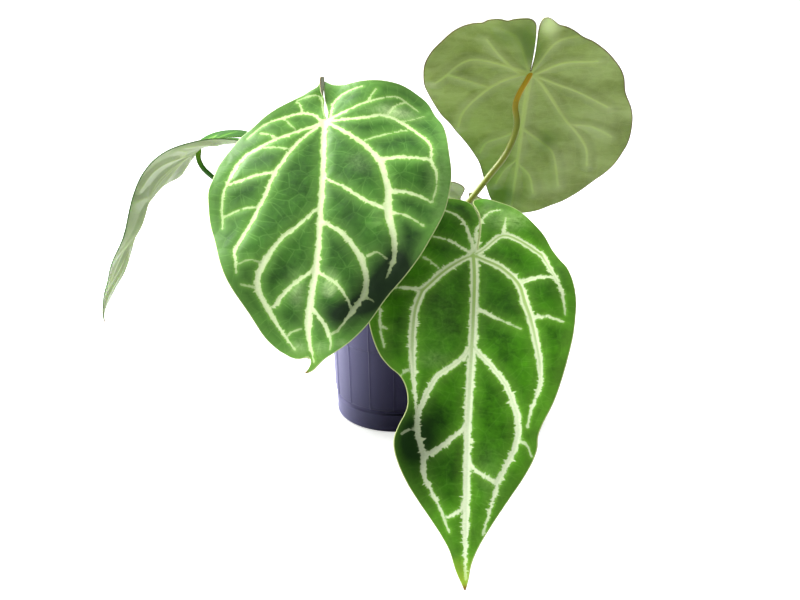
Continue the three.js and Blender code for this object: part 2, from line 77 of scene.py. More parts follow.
# Each blade is given flat: x across it, y from the point where the stalk joins it to the tip. right (+x)
# and left (-x) are its margins, from the bottom of the notch round to the tip, and corners counts the steps
# to each lobe's corner. spine is the midrib where it isn't straight, and flap the crest of a lobe's edge
# that is rolled up. A vein is [points, width at its start, width at its end], a swell (x, y, radius, lift),
# and a patch of shade (x, y, across, along, amount), which is painted shade where the amount is below 0 and
# painted sheen where it is above. stalk_foot is the compass angle and the height at which the stalk leaves
# the stem, and stalk the points that it passes on its way. What the other values do, leaf_axes, blade_point
# and blade_height say.
LEAVES = {
    "front_left": dict(
        pos=(-37, -75, 205), az=-92, droop=33, roll=0, tip_bend=25, lobe_bend=5, twist=0, fold=0.12, arch=7,
        swells=[(-6, -22, 8, 4)], wave=(1.5, 7, 0.6, 45),
        right=[
            (0.7, -2.2), (0.9, -6), (-0.3, -11.4), (-1.3, -16.5), (-2.3, -23), (-3.1, -28.6), (-2.5, -31.5),
            (0.4, -28.9), (3, -27.2), (9, -26), (18, -26.9), (32, -27.3), (40.8, -26.6), (47.5, -24),
            (53.7, -19.8), (58.4, -10), (62, -3), (64.1, 6), (65.5, 18), (67, 32), (66, 42), (63.5, 54),
            (58, 68), (52, 80), (45, 90), (36, 101), (26, 116), (18, 124.3), (10.4, 129.8), (6.5, 132.4),
            (4.6, 134.1), (2.6, 136.2), (0.9, 137.9), (-1.8, 139.4), (-4, 139.6)],
        left=[
            (0.7, -2.2), (-0.5, -6), (-1.3, -11.4), (-0.6, -15), (0.6, -20), (1.4, -26), (0.6, -31.5),
            (-4.2, -36.2), (-5.4, -34.3), (-5.3, -28.4), (-6.2, -22.8), (-11, -19.8), (-17, -16),
            (-24.6, -8.6), (-31.3, -1.4), (-37.8, 6), (-44, 12), (-49, 20), (-53.2, 29), (-55.4, 38),
            (-57.2, 45), (-56.8, 52), (-55, 63.3), (-51.7, 73.3), (-47.6, 86), (-43.1, 95.5), (-32.2, 111),
            (-24, 122.9), (-17.5, 128.6), (-14, 130.6), (-10.4, 132.3), (-7.3, 132.8), (-4.3, 132.3),
            (-2.3, 131.7), (-1.1, 132.7), (-0.9, 134.6), (-2.1, 137.3), (-4, 139.6)],
        spine=[
            (0, 0), (0, 60), (0, 110), (0.3, 124), (1.2, 130), (1.4, 133.5), (-0.4, 137.2), (-4, 139.6)],
        veins=[
            [[(0, 0), (0, 10), (1, 32), (1, 55), (1, 75)], 3.2, 2.9],
            [[(1, 75), (0, 90), (-2, 105), (-2.6, 116)], 3, 3.8],
            [[(-2.6, 116), (-2, 123), (-0.5, 129), (1, 134)], 3.4, 0.6],
            [[(0, 0), (2.3, -0.7), (2.8, -6.3), (3.2, -11.8)], 1.3, 1.1],
            [[(3.2, -11.8), (6.9, -17.5), (12.2, -21), (19, -23)], 1.4, 0.8],
            [[(0, 0), (7, -4), (22, -12), (38, -18), (42, -16), (49, -11)], 1.7, 0.5],
            [[(22, -12), (24, -17), (26, -21)], 1.2, 0.6],
            [[(0, 0), (9, 0), (20, -1), (32, -4), (43, 1)], 1.7, 2],
            [[(43, 1), (50, 8), (56, 16), (56, 25)], 2.2, 1.5],
            [[(56, 25), (59, 33), (59, 41), (57, 49)], 1.8, 0.6],
            [[(33, -5), (36, -11), (42, -16)], 1.3, 1], [[(40, -1), (46, -4), (52, -8)], 0.7, 0.3],
            [[(0, 0), (5, 4), (21, 16), (27, 23), (31, 29)], 1.9, 3.2],
            [[(31, 29), (33, 37), (35, 45), (35, 53), (36, 62)], 3.2, 4.2],
            [[(36, 62), (38, 69), (39, 78), (38, 84)], 3.6, 2.4], [[(38, 84), (35, 92)], 2, 0.4],
            [[(31, 26), (42, 24.6), (56, 25)], 2.5, 1.5], [[(36, 45), (45, 45), (57, 49)], 2.7, 1],
            [[(37, 57), (45, 59), (53, 64)], 1.5, 0.6], [[(22, 14), (33, 9), (43, 5)], 0.8, 0.8],
            [[(1, 35), (4, 38.5), (12, 43), (19, 48), (27, 52.5), (35, 56)], 1.3, 2.4],
            [[(1, 62), (4, 63.5), (10, 67), (17, 74), (22, 81)], 2.1, 2.8],
            [[(22, 81), (25, 90), (25, 97), (23, 103), (19, 109)], 3.1, 2.5],
            [[(19, 109), (15.5, 114), (12, 119)], 2.4, 0.5],
            [[(24, 102), (27, 102.5), (29, 104)], 1.3, 0.4],
            [[(0, 88), (2, 90), (10, 95), (15, 101), (19, 109)], 1.7, 1.2],
            [[(-1, 107), (1, 110), (5, 115), (8, 121)], 2, 2], [[(8, 121), (9, 125), (8.5, 128)], 1.2, 0.4],
            [[(8, 121), (12, 119)], 0.8, 0.4], [[(24, 82), (30, 79), (35, 82)], 1, 0.6],
            [[(-0.4, -3), (-1.9, -9), (-2.6, -14.8)], 0.4, 0.8],
            [[(-2.6, -14.8), (-4.3, -17.1), (-6.5, -17.4), (-11.9, -16.6), (-16, -14.6)], 1.2, 0.3],
            [[(0, 0), (-2.8, -1.1), (-5.7, -4.4), (-12.6, -5.3), (-22, -0.5)], 2.2, 1.4],
            [[(-22, -0.5), (-31.2, 4.7), (-40, 13)], 1.3, 0.5],
            [[(-12.7, -6), (-13.8, -10.2), (-14.8, -12.8), (-16.2, -13)], 1.4, 0.7],
            [[(-21.6, 0.3), (-20.1, 2), (-15.2, 7.2)], 1.1, 0.3],
            [[(0, 0), (-13, 8), (-24, 14), (-33, 19), (-39, 23)], 1.8, 1.6],
            [[(-39, 23), (-43, 29), (-46, 37)], 1.7, 2.2],
            [[(-46, 37), (-49, 47), (-49, 56), (-48, 66)], 1.5, 0.5],
            [[(-24, 14), (-28, 11.5), (-33, 10)], 1.3, 0.8],
            [[(0, 0), (-11, 13), (-16, 21), (-24, 36)], 1.7, 2],
            [[(-24, 36), (-27, 47), (-30, 55), (-35, 67), (-41, 79)], 2.2, 1.8],
            [[(-41, 79), (-40, 84), (-39, 91)], 2, 0.5],
            [[(-16, 21), (-24, 19.6), (-32, 20), (-39, 23)], 0.7, 0.9],
            [[(-24, 35), (-33, 37), (-46, 42)], 1.7, 1.5], [[(-31, 55), (-38, 56), (-48, 60)], 1.3, 0.6],
            [[(1, 53), (-2, 57), (-12, 67), (-19, 74), (-25, 83)], 1.5, 2.5],
            [[(-25, 83), (-28.5, 92), (-28, 99), (-23, 108)], 3.5, 2.6],
            [[(-23, 108), (-18, 116), (-14, 121.5), (-9, 128)], 2.5, 0.8],
            [[(-28, 98), (-33, 97), (-36.5, 96.5)], 1, 0.3],
            [[(0, 86), (-2, 89), (-9, 94), (-15, 100), (-20, 107)], 1.7, 2.3],
            [[(-13, 122), (-11, 119.6), (-6, 118)], 0.8, 0.3],
            [[(-27, 85), (-33, 84), (-38, 86)], 0.5, 0.3]],
        corners=(6, 7), stalk=[(-18, -38, 128), (-31, -61, 168)], stalk_foot=(-116, 89), look="bright",
        flap=[(-40, -3.2), (-34, -3.2), (-30, -2.7), (-23, -2.4), (-16, -2.2), (-12, -1.5)],
        shade=[
            (40, 83, 10, 13, -1), (30, 97, 9, 11, -1), (12, 111, 9, 9, -1), (24, 106, 9, 8, -0.8),
            (44, 92, 8, 9, -0.5), (-14, 113, 7, 7, -0.12), (16, 70, 9, 14, -0.22), (13, 42, 8, 12, -0.1),
            (18, 29, 7, 8, 0.12), (-9, 99, 4, 8, 0.35), (8, 98, 4, 7, 0.8), (36, -7, 9, 4, 0.85),
            (-7, 127, 4, 3, 0.35), (4, 127, 4, 3, 0.3), (14, 124, 5, 3, 0.3), (62, 40, 6, 22, 0.15),
            (-53, 57, 5, 18, -0.12), (-40, 92, 7, 14, -0.2), (30, 62, 5, 8, 0.12)]),
    "front_right": dict(
        pos=(41, -108, 142), az=-93, droop=33, roll=0, tip_bend=25, lobe_bend=5, twist=0, fold=0.15, arch=6,
        swells=[(-10, -26, 14, 4)], wave=(1, 9, 1, 50),
        right=[
            (2, -3.5), (2.7, -8), (3.4, -14), (3.6, -20), (2.8, -26), (1, -31.5), (-0.6, -35.5), (0, -38.6),
            (4.5, -39.6), (14, -33.5), (23, -27.2), (29.7, -21.1), (36.9, -12.6), (40.9, -3.4), (44.2, 3),
            (47.9, 9), (50.7, 18), (51.9, 28), (51.2, 38), (49.7, 48), (46.7, 60), (43.2, 72), (39.5, 82),
            (34, 93), (32.1, 98.5), (31.8, 104), (29.8, 110.2), (25, 119), (17.6, 129.9), (10.6, 140.3),
            (4.3, 151), (1.1, 159), (-0.2, 166), (-1.5, 171.2)],
        left=[
            (2, -3.5), (2.4, -8), (3.1, -14), (3.3, -20), (2.4, -25.8), (0.5, -31), (-1.6, -35.2),
            (-6, -37.9), (-16, -37), (-29, -30), (-40, -19), (-49, -4), (-54, 14), (-54.6, 28), (-54, 35),
            (-52, 44), (-50, 51), (-46, 60), (-41, 66), (-36, 70), (-33, 75), (-31.5, 82), (-32, 87),
            (-35.2, 94), (-37.5, 100), (-37.7, 105), (-35.7, 112.3), (-30.8, 122.4), (-25, 131.4),
            (-18.6, 140.3), (-13.6, 147.4), (-9.9, 153.6), (-6.5, 163), (-2.2, 171.4)],
        veins=[
            [[(0, 0), (0.6, 14), (0, 43), (-1, 68), (-2, 94)], 4.7, 3.9],
            [[(-2, 94), (-2, 119), (-2, 143)], 3.8, 3.4], [[(-2, 143), (-2, 156), (-1.6, 166)], 3, 0.9],
            [[(0, 0), (2, -8), (1, -13), (5, -24), (9, -28), (14, -28)], 2.6, 1],
            [[(0, 0), (5, -3), (15, -11), (25, -7), (35, 0)], 3.1, 3.8],
            [[(35, 0), (41, 14), (45, 25)], 3.3, 1.7], [[(45, 25), (46, 36)], 1.5, 0.5],
            [[(15, -11), (16, -17), (17, -22)], 2.1, 1],
            [[(0, 0), (6, 4), (15, 10), (23, 19), (26, 30)], 3.8, 4.2],
            [[(26, 30), (29, 40), (33, 62)], 4.2, 3.3],
            [[(33, 62), (33, 73), (28, 88), (27, 94)], 3.1, 0.7],
            [[(25, 18), (31, 15.6), (38, 15), (42, 16)], 2.8, 1.5],
            [[(28, 39), (36, 37.6), (45, 40)], 2.6, 0.8],
            [[(0, 31), (2, 33), (7, 36), (14, 40), (24, 45)], 2.4, 0.3],
            [[(-1, 52), (2, 56), (16, 73), (22, 88)], 2.5, 3.2],
            [[(22, 88), (22.5, 97), (21, 104), (13, 120)], 3.3, 2.5],
            [[(13, 120), (11, 128), (6, 145)], 2.1, 0.7], [[(-2, 108), (1, 114), (12, 121)], 1.5, 1.9],
            [[(22, 100), (27, 103), (29, 108)], 1, 0.5],
            [[(0, 0), (-1, -8), (-7, -22), (-15, -26)], 2.6, 1],
            [[(0, 0), (-5, -3), (-12, -7), (-21, -9)], 2.1, 0.9],
            [[(0, 0), (-5, 3), (-14, 11), (-26, 24)], 3.5, 4],
            [[(-26, 24), (-29, 34), (-30, 46), (-30, 56)], 3.8, 4.2],
            [[(-30, 56), (-29, 70), (-28, 80), (-27, 90)], 3.8, 0.9],
            [[(-26, 24), (-32, 23), (-41, 23)], 2.8, 1.2], [[(-18, 11), (-22, 7), (-27, 4)], 1, 0.7],
            [[(-1, 53), (-4, 59), (-11, 65), (-18, 71), (-23, 80)], 2.5, 3],
            [[(-23, 80), (-26, 89), (-26, 100), (-23, 108)], 2.7, 2.9],
            [[(-23, 108), (-23, 117), (-19, 126), (-15, 133), (-10, 145)], 2.8, 0.7],
            [[(-2, 92), (-5, 96), (-13, 103), (-22, 109)], 2.1, 2.8],
            [[(-3, 131), (-5, 134.6), (-11, 138)], 1.9, 1.5],
            [[(-47, 35), (-46.4, 46), (-44, 56)], 1.5, 0.5], [[(-46.6, 44), (-43, 46)], 1.2, 0.5],
            [[(-26, 96), (-31, 97), (-34, 99)], 1.1, 0.5], [[(-29, 66), (-33, 68), (-35, 70)], 1, 0.5]],
        corners=(7, 7), stalk=[(12, -32, 105), (27, -68, 119)], stalk_foot=(-68, 86), look="deep",
        shade=[
            (42, 20, 9, 15, -0.5), (-19, 98, 10, 18, -0.75), (-31, 101, 9, 16, -0.95),
            (13, 30, 10, 16, -0.36), (6, -28, 4, 5, 0.4), (19, -21, 9, 6, 0.6), (10, 118, 7, 12, 0.15),
            (-20, 62, 8, 5, 0.2), (-12, -28, 9, 8, -0.35), (-16, 40, 10, 22, 0.06),
            (-12, 118, 8, 12, -0.12), (-40, 20, 8, 20, -0.25), (-26, 118, 8, 12, -0.3),
            (-10, 125, 8, 12, -0.15), (1, 147, 6, 9, -0.18)]),
    "back_right": dict(
        pos=(83, 35, 211), az=88, droop=50, roll=0, tip_bend=15, lobe_bend=-5, twist=0, fold=0.1, arch=4,
        swells=[], wave=(1.2, 8, 0.3, 40),
        right=[
            (-0.2, -3), (-0.9, -15), (-1.2, -26), (-1, -36.5), (-0.1, -42.7), (3.4, -47), (13.2, -49),
            (17, -48.2), (22, -50), (28.2, -48.5), (31.3, -45.1), (36, -43), (41.6, -38.8), (47.3, -33.4),
            (55, -25), (61, -19), (65.1, -11.3), (66, -1), (65.2, 11), (62.3, 22.2), (59, 31), (55, 39),
            (49, 47), (44, 55.7), (38.4, 65), (32.5, 74.8), (28.1, 83.4), (25.3, 94), (22, 107), (19, 117),
            (15, 124.5), (9, 128.5), (6, 131), (4.5, 135)],
        left=[
            (-0.2, -3), (-1.5, -15), (-1.9, -26), (-2, -36), (-2.7, -41.8), (-4.5, -45), (-7, -45.1),
            (-10.3, -42.8), (-14.3, -38.9), (-19.2, -37.5), (-24, -35.2), (-29.2, -31.9), (-35.5, -29.6),
            (-43.4, -22.6), (-51.3, -10.3), (-58.5, 3.8), (-61.2, 16), (-66, 27), (-69, 38), (-70.6, 52),
            (-69.8, 62.4), (-66.3, 72), (-61.8, 82.5), (-54.7, 95.7), (-44.6, 108.8), (-34.4, 115.2),
            (-22, 119.5), (-14.4, 123.2), (-6.2, 126.5), (0, 128.5), (3, 131.5), (4.5, 135)],
        veins=[
            [[(0, 0), (0.6, 21), (1.4, 48), (2.4, 87), (4, 125)], 3.4, 1.2],
            [[(0, 0), (2, -7), (11, -34), (19, -41)], 1.8, 0.8],
            [[(0, 0), (5, 0), (20, -17), (28, -30)], 2, 0.8],
            [[(0, 0), (6, -4), (37, -10), (58, 7)], 2.2, 0.8],
            [[(0, 0), (5, 0), (25, 15), (41, 39), (43, 50)], 2.6, 0.9],
            [[(25, 14), (38, 8), (51, 1)], 1.3, 0.6], [[(1.4, 50), (12, 58), (24, 65), (28, 74)], 1.8, 0.8],
            [[(2, 78), (10, 88), (16, 102)], 1.3, 0.6], [[(0, 0), (-3, 0), (-21, -10), (-40, -12)], 2, 0.8],
            [[(0, 0), (-3, -6), (-14, -26), (-26, -32)], 1.4, 0.6],
            [[(0, 0), (-4, 2), (-35, 20), (-52, 30)], 2.2, 0.8],
            [[(0, 0), (-4, 3), (-25, 41), (-42, 67), (-45, 85)], 2.4, 0.8],
            [[(1.4, 50), (-9, 60), (-20, 72), (-27, 103)], 1.8, 0.7],
            [[(2.4, 82), (-6, 92), (-10, 108)], 1.2, 0.5], [[(-30, 48), (-44, 50), (-58, 58)], 1, 0.5]],
        corners=(5, 5),
        stalk=[
            (26, 7, 112), (46, 12, 135.8), (56.6, 15.8, 148.9), (69, 19.6, 165.1), (74.9, 23.5, 181.2),
            (73.9, 27.3, 192.3), (75.7, 29.2, 198.1)],
        stalk_foot=(18, 90), look="olive",
        shade=[
            (12, -36, 16, 12, -0.8), (2, -22, 6, 16, -1), (11, 114, 11, 10, -1.2), (-47, 53, 14, 26, 0.17),
            (-18, 104, 12, 8, 0.25), (-7, -40, 7, 9, 0.9), (-14, -31, 11, 10, 0.3), (-16, 63, 7, 11, -0.75),
            (-24, 50, 9, 6, 0.3), (-22, -30, 8, 6, -0.3), (-6, -22, 4, 12, -0.3), (-24, 48, 9, 14, -0.18),
            (44, -14, 16, 16, -0.12), (-30, 82, 9, 12, 0.15), (-22, -32, 14, 10, -0.18)]),
    "left": dict(
        pos=(-121, 12, 170), az=195.8, droop=28.3, roll=14.3, tip_bend=47.4, lobe_bend=143.5, twist=-5.9,
        fold=-0.04, arch=-9.6,
        swells=[
            (42, -12, 22, -5.4), (46, 22, 22, 2.1), (34, 60, 22, -9.3), (18, 95, 22, -0.1),
            (-42, -12, 22, -1.7), (-46, 22, 22, -13), (-34, 60, 22, -7.2), (-18, 95, 22, -7.7),
            (-25, -28, 22, 4.3), (25, -28, 22, -3.1), (-26, 78, 16, -2.2), (10, 110, 14, 2.9),
            (0, 122, 10, 2), (0, 62, 16, -4.9), (0, 90, 16, -2.6)],
        wave=(0, 1, 0, 40),
        right=[
            (0, -3), (1.6, -14), (2.5, -26), (12.7, -33), (25.4, -32), (37.1, -25), (45.2, -13), (49.1, 2),
            (52.4, 20), (52.1, 40), (49.2, 58), (40.7, 77), (31.6, 90), (24.8, 97), (15.5, 105), (9.3, 113),
            (0, 128.5)],
        left=[
            (0, -3), (-1.6, -14), (-2.6, -26), (-12.9, -33), (-25.9, -32), (-38.2, -25), (-47.4, -13),
            (-53.2, 2), (-64, 20), (-60.8, 40), (-47.4, 58), (-37.2, 77), (-26.5, 88), (-22.7, 96),
            (-18.3, 105), (-10.6, 113), (0, 128.5)],
        veins=[
            [[(0, 0), (0, 60), (0, 124)], 3.6, 0.9], [[(0, 0), (22, -12), (37, -8), (44, 4)], 2.2, 0.7],
            [[(0, 0), (26, 10), (40, 24), (46, 38)], 2.8, 0.9],
            [[(0, 0), (20, 24), (30, 42), (34, 60), (30, 78)], 3.2, 0.8],
            [[(0, 0), (7, -14), (18, -24)], 1.4, 0.6],
            [[(0, 45), (8, 54), (16, 66), (18, 84), (14, 100)], 2.6, 0.7],
            [[(0, 78), (6, 88), (8, 104)], 1.8, 0.6], [[(30, 42), (38, 42), (47, 46)], 1.8, 0.7],
            [[(26, 10), (36, 6), (43, 8)], 1.8, 0.7], [[(0, 0), (-22, -12), (-40, -8), (-50, 4)], 2.2, 0.7],
            [[(0, 0), (-26, 10), (-40, 24), (-46, 38)], 2.8, 0.9],
            [[(0, 0), (-20, 24), (-30, 42), (-34, 60), (-30, 78)], 3.2, 0.8],
            [[(0, 0), (-7, -14), (-18, -24)], 1.4, 0.6],
            [[(0, 45), (-8, 54), (-16, 66), (-18, 84), (-14, 100)], 2.6, 0.7],
            [[(0, 78), (-6, 88), (-8, 104)], 1.8, 0.6], [[(-30, 42), (-38, 42), (-47, 46)], 1.8, 0.7],
            [[(-26, 10), (-38, 6), (-48, 8)], 1.8, 0.7]],
        corners=(2, 2),
        stalk=[
            (-44, 3, 112), (-82, 6, 135), (-104, 7.5, 146.5), (-111.8, 8, 151.7), (-118.6, 9, 158.2),
            (-121, 10.5, 164)],
        stalk_foot=(175, 86), look="turned", shade=[(-40, 10, 60, 60, -0.3)]),
    "back": dict(
        pos=(47, 58, 114), az=80, droop=45, roll=0, tip_bend=20, lobe_bend=10, twist=0, fold=0.08, arch=3,
        swells=[], wave=(0.8, 6, 0, 30),
        right=[
            (-0.6, -3), (1.6, -12), (2.2, -20), (0, -28), (-1.6, -36), (2, -43), (6.5, -45.5), (16, -43),
            (26, -38), (36, -26), (42, -8), (42, 12), (37, 32), (28, 50), (16, 68), (6, 80), (0, 88)],
        left=[
            (-0.6, -3), (-2.2, -12), (-3, -19), (-3.2, -25), (-4, -28.5), (-6.4, -28.3), (-9, -23),
            (-13, -18.5), (-19.5, -12.5), (-28, -5), (-33, 8), (-34, 22), (-30, 38), (-22, 55), (-12, 72),
            (-5, 82), (0, 88)],
        veins=[
            [[(0, 0), (0, 40), (0, 84)], 2.4, 0.7], [[(0, 0), (6, -16), (12, -30)], 1.2, 0.6],
            [[(0, 0), (16, -18), (28, -20)], 1.6, 0.6], [[(0, 0), (20, 8), (29, 22), (32, 36)], 2, 0.6],
            [[(0, 28), (8, 38), (14, 46), (16, 62)], 1.6, 0.5], [[(0, 0), (-8, -10), (-14, -12)], 1.2, 0.6],
            [[(0, 0), (-14, 8), (-22, 20), (-25, 34)], 1.8, 0.6],
            [[(0, 28), (-7, 36), (-12, 44), (-12, 60)], 1.6, 0.5]],
        corners=(6, 5), stalk=[(21, 25, 101)], stalk_foot=(52, 88), look="small", shade=[]),
}


# Lines, fields and meshes

def smooth_line(points, steps):
    """A centripetal Catmull-Rom line. From b to c, with u from 0 to 1, it is the cubic b + s u + (3(c - b)
    - 2s - t) u^2 + (2(b - c) + s + t) u^3, where the slopes s and t come from the neighbours on both sides,
    each gap counted as the root of its length."""
    p = np.array(points, float)
    p = np.vstack([2 * p[0] - p[1], p, 2 * p[-1] - p[-2]])
    gap = np.linalg.norm(np.diff(p, axis=0), axis=1)[:, None] ** 0.5
    a, b, c, d = p[:-3], p[1:-2], p[2:-1], p[3:]
    g0, g1, g2 = gap[:-2], gap[1:-1], gap[2:]
    s = ((b - a) / g0 - (c - a) / (g0 + g1) + (c - b) / g1) * g1
    t = ((c - b) / g1 - (d - b) / (g1 + g2) + (d - c) / g2) * g1
    u = np.linspace(0, 1, steps, endpoint=False)[:, None, None]
    line = b + s * u + (3 * (c - b) - 2 * s - t) * u ** 2 + (2 * (b - c) + s + t) * u ** 3
    return np.vstack([line.transpose(1, 0, 2).reshape(-1, p.shape[1]), p[-2]])


def evenly(line, count):
    """The same line as count + 1 points at equal lengths along it."""
    lengths = np.r_[0, np.cumsum(np.linalg.norm(np.diff(line, axis=0), axis=1))]
    wanted = np.linspace(0, lengths[-1], count + 1)
    return np.stack([np.interp(wanted, lengths, line[:, k]) for k in range(line.shape[1])], 1)


def ripple(x, y, z, size, seed):
    """Soft, seeded unevenness from -1 to 1: a sum of twelve plane waves, each about size millimetres long,
    in random directions and phases."""
    draw = np.random.default_rng(seed)
    total = 0
    for _ in range(12):
        direction = draw.normal(size=3)
        direction *= draw.uniform(0.6, 1.6) * 2 * np.pi / size / np.linalg.norm(direction)
        along = direction[0] * x + direction[1] * y + direction[2] * z
        total = total + np.sin(along + draw.uniform(0, 6.28))
    return total / 5


def mesh_of(name, points, faces, materials, kinds=None, fields=None):
    """A piece at the world origin from points in millimetres and an array of triangles or quads; kinds
    gives each face's material and fields gives named values at its points."""
    mesh = bpy.data.meshes.new(name)
    faces = np.asarray(faces, np.int32)
    corners = faces.shape[1]
    mesh.vertices.add(len(points))
    mesh.vertices.foreach_set("co", (np.asarray(points, np.float32) / 1000).ravel())
    mesh.loops.add(faces.size)
    mesh.loops.foreach_set("vertex_index", faces.ravel())
    mesh.polygons.add(len(faces))
    mesh.polygons.foreach_set("loop_start", np.arange(0, faces.size, corners, dtype=np.int32))
    if kinds is not None:
        mesh.polygons.foreach_set("material_index", np.asarray(kinds, np.int32))
    mesh.update(calc_edges=True)
    mesh.polygons.foreach_set("use_smooth", np.ones(len(faces), bool))
    for key, values in (fields or {}).items():
        values = np.asarray(values, np.float32)
        kind = "FLOAT_VECTOR" if values.ndim == 2 else "FLOAT"
        layer = mesh.attributes.new(key, kind, "POINT")
        layer.data.foreach_set("vector" if values.ndim == 2 else "value", values.ravel())
    for material in materials:
        mesh.materials.append(material)
    mesh.validate()
    piece = bpy.data.objects.new(name, mesh)
    bpy.context.scene.collection.objects.link(piece)
    return piece


def grid_faces(rows, columns, closed=True, start=0):
    """Quads of a grid of points, row after row; a closed grid joins its last column to its first."""
    i = np.arange(rows - 1)[:, None] * columns + start
    j = np.arange(columns if closed else columns - 1)[None, :]
    k = (j + 1) % columns
    return np.stack([i + j, i + k, i + k + columns, i + j + columns], -1).reshape(-1, 4)


# Leaves

def leaf_axes(leaf):
    """Along the midrib, across the blade and up from it. Along points down by droop towards the compass
    angle az, across is level and then turned by roll about along, and up is along x across."""
    az, droop, roll = np.radians([leaf["az"], leaf["droop"], leaf["roll"]])
    along = np.array([np.cos(droop) * np.cos(az), np.cos(droop) * np.sin(az), -np.sin(droop)])
    level = np.array([-np.sin(az), np.cos(az), 0])
    across = np.cos(roll) * level + np.sin(roll) * np.cross(along, level)
    return along, across, np.cross(along, across)


def vein_field(leaf, x, y):
    """Where each flat point lies among the veins. With w a vein's width there and d the distance to its
    middle line, inside = w/2 - d, blended over all veins as s log(sum exp(inside / s)) so that forks fill
    in. groove is the largest min(1, w/3) exp(-(d / (1 + 3w/4))^2), and rib the largest w/3 exp(-(2d/w)^2).
    along and aside measure the nearest vein, each vein beginning 41.7 mm further on so that no two share a
    pattern, and clear is how clear it stands: 0.25 + w/2, at most 1, because a thin vein is also
    fainter."""
    flat = np.stack([x, y], 1)
    blend = 0.35
    total = np.zeros(len(x))
    nearest = np.full(len(x), -1e9)
    along, aside, groove, rib, clear = (np.zeros(len(x)) for _ in range(5))
    for number, (points, first, last) in enumerate(leaf["veins"]):
        line = smooth_line(points, 6)
        step = np.diff(line, axis=0)
        lengths = np.r_[0, np.cumsum(np.linalg.norm(step, axis=1))]
        gap = flat[:, None] - line[None, :-1]
        share = np.clip((gap * step).sum(-1) / (step ** 2).sum(-1), 0, 1)
        off = gap - share[..., None] * step
        far = np.linalg.norm(off, axis=2)
        k = far.argmin(1)
        rows = np.arange(len(x))
        d = far[rows, k]
        length = lengths[k] + share[rows, k] * (lengths[k + 1] - lengths[k])
        width = first + (last - first) * length / lengths[-1]
        inside = np.maximum(width, THINNEST_VEIN) / 2 - d
        total += np.exp(np.clip(inside / blend, -40, 40))
        groove = np.maximum(groove, np.minimum(1, width / 3) * np.exp(-(d / (1 + 0.75 * width)) ** 2))
        rib = np.maximum(rib, width / 3 * np.exp(-(2 * d / width) ** 2))
        better = inside > nearest
        nearest = np.where(better, inside, nearest)
        turn = step[k, 0] * off[rows, k, 1] - step[k, 1] * off[rows, k, 0]
        along = np.where(better, length + 41.7 * number, along)
        aside = np.where(better, d * np.sign(turn), aside)
        clear = np.where(better, np.minimum(1, 0.25 + width / 2), clear)
    inside = np.where(total > 1e-9, blend * np.log(np.maximum(total, 1e-9)), nearest)
    return np.maximum(inside, nearest), along, aside, groove, rib, clear


def blade_height(leaf, x, y, groove):
    """Height over the flat form: fold (sqrt(x^2 + 9) - 3) - arch (x/50)^2, plus each swell's lift
    exp(-r^2/radius^2), plus the waved edge rise (reach/60)^3 sin(count angle + phase), less the sunken
    veins."""
    height = leaf["fold"] * (np.sqrt(x * x + 9) - 3) - leaf["arch"] * (x / 50) ** 2
    for sx, sy, radius, lift in leaf["swells"]:
        height = height + lift * np.exp(-((x - sx) ** 2 + (y - sy) ** 2) / radius ** 2)
    rise, count, phase, centre = leaf["wave"]
    reach = np.hypot(x, y - centre) / 60
    height = height + rise * reach ** 3 * np.sin(count * np.arctan2(x, y - centre) + phase)
    return height - VEIN_DEPTH * groove


def blade_point(leaf, x, y, height):
    """The point of the bent blade for a flat point: with k the bend along the midrib, the midrib runs as
    sin(k y)/k along and (cos(k y) - 1)/k up, and the cross-section there is turned by k y and twisted by
    twist y."""
    along, across, up = leaf_axes(leaf)
    bend = (np.radians(np.where(y > 0, leaf["tip_bend"], leaf["lobe_bend"])) / 100)[:, None]
    angle = bend * y[:, None]
    twist = np.radians(leaf["twist"]) / 100 * y[:, None]
    up_here = up * np.cos(angle) + along * np.sin(angle)
    side = across * np.cos(twist) + up_here * np.sin(twist)
    normal = up_here * np.cos(twist) - across * np.sin(twist)
    return (np.array(leaf["pos"], float) + along * np.sin(angle) / bend + up * (np.cos(angle) - 1) / bend
            + side * x[:, None] + normal * height[:, None])


def curled(leaf, x, y):
    """The edge of a lobe rolled up beside the notch: past the line x = crest - 0.7 the blade follows an arc
    of 0.7 mm radius through an angle that grows from 0 to 2.2 with the distance into the lobe, then runs on
    straight. Gives the new x and the lift."""
    radius = 0.7
    crest_y, crest_x = np.array(leaf["flap"], float).T
    start = np.interp(y, crest_y, crest_x) - radius
    t = np.clip((-11 - y) / 8, 0, 1)
    most = 2.2 * t * t * (3 - 2 * t)
    beyond = np.where(y < -11, np.maximum(x - start, 0), 0)
    angle = np.minimum(beyond / radius, most)
    rest = beyond - radius * angle
    moved = np.where(beyond > 0, start + radius * np.sin(angle) + rest * np.cos(angle), x)
    return moved, radius * (1 - np.cos(angle)) + rest * np.sin(angle)


def patches(leaf, x, y):
    """How much painted shade (below 0) or painted sheen (above 0) lies on the skin: the sum over the patches
    of amount exp(-(dx/across)^2 - (dy/along)^2), held between -1 and 1."""
    total = 0 * x
    for px, py, across, along, amount in leaf["shade"]:
        total = total + amount * np.exp(-((x - px) / across) ** 2 - ((y - py) / along) ** 2)
    return np.clip(total, -1, 1)


def blade_normals(points, faces):
    """Unit normals at the points: the sum of the cross products of the triangles that meet there."""
    a, b, c = (points[faces[:, k]] for k in range(3))
    cross = np.cross(b - a, c - a)
    total = np.zeros_like(points)
    for k in range(3):
        np.add.at(total, faces[:, k], cross)
    return total / np.maximum(np.linalg.norm(total, axis=1), 1e-12)[:, None]


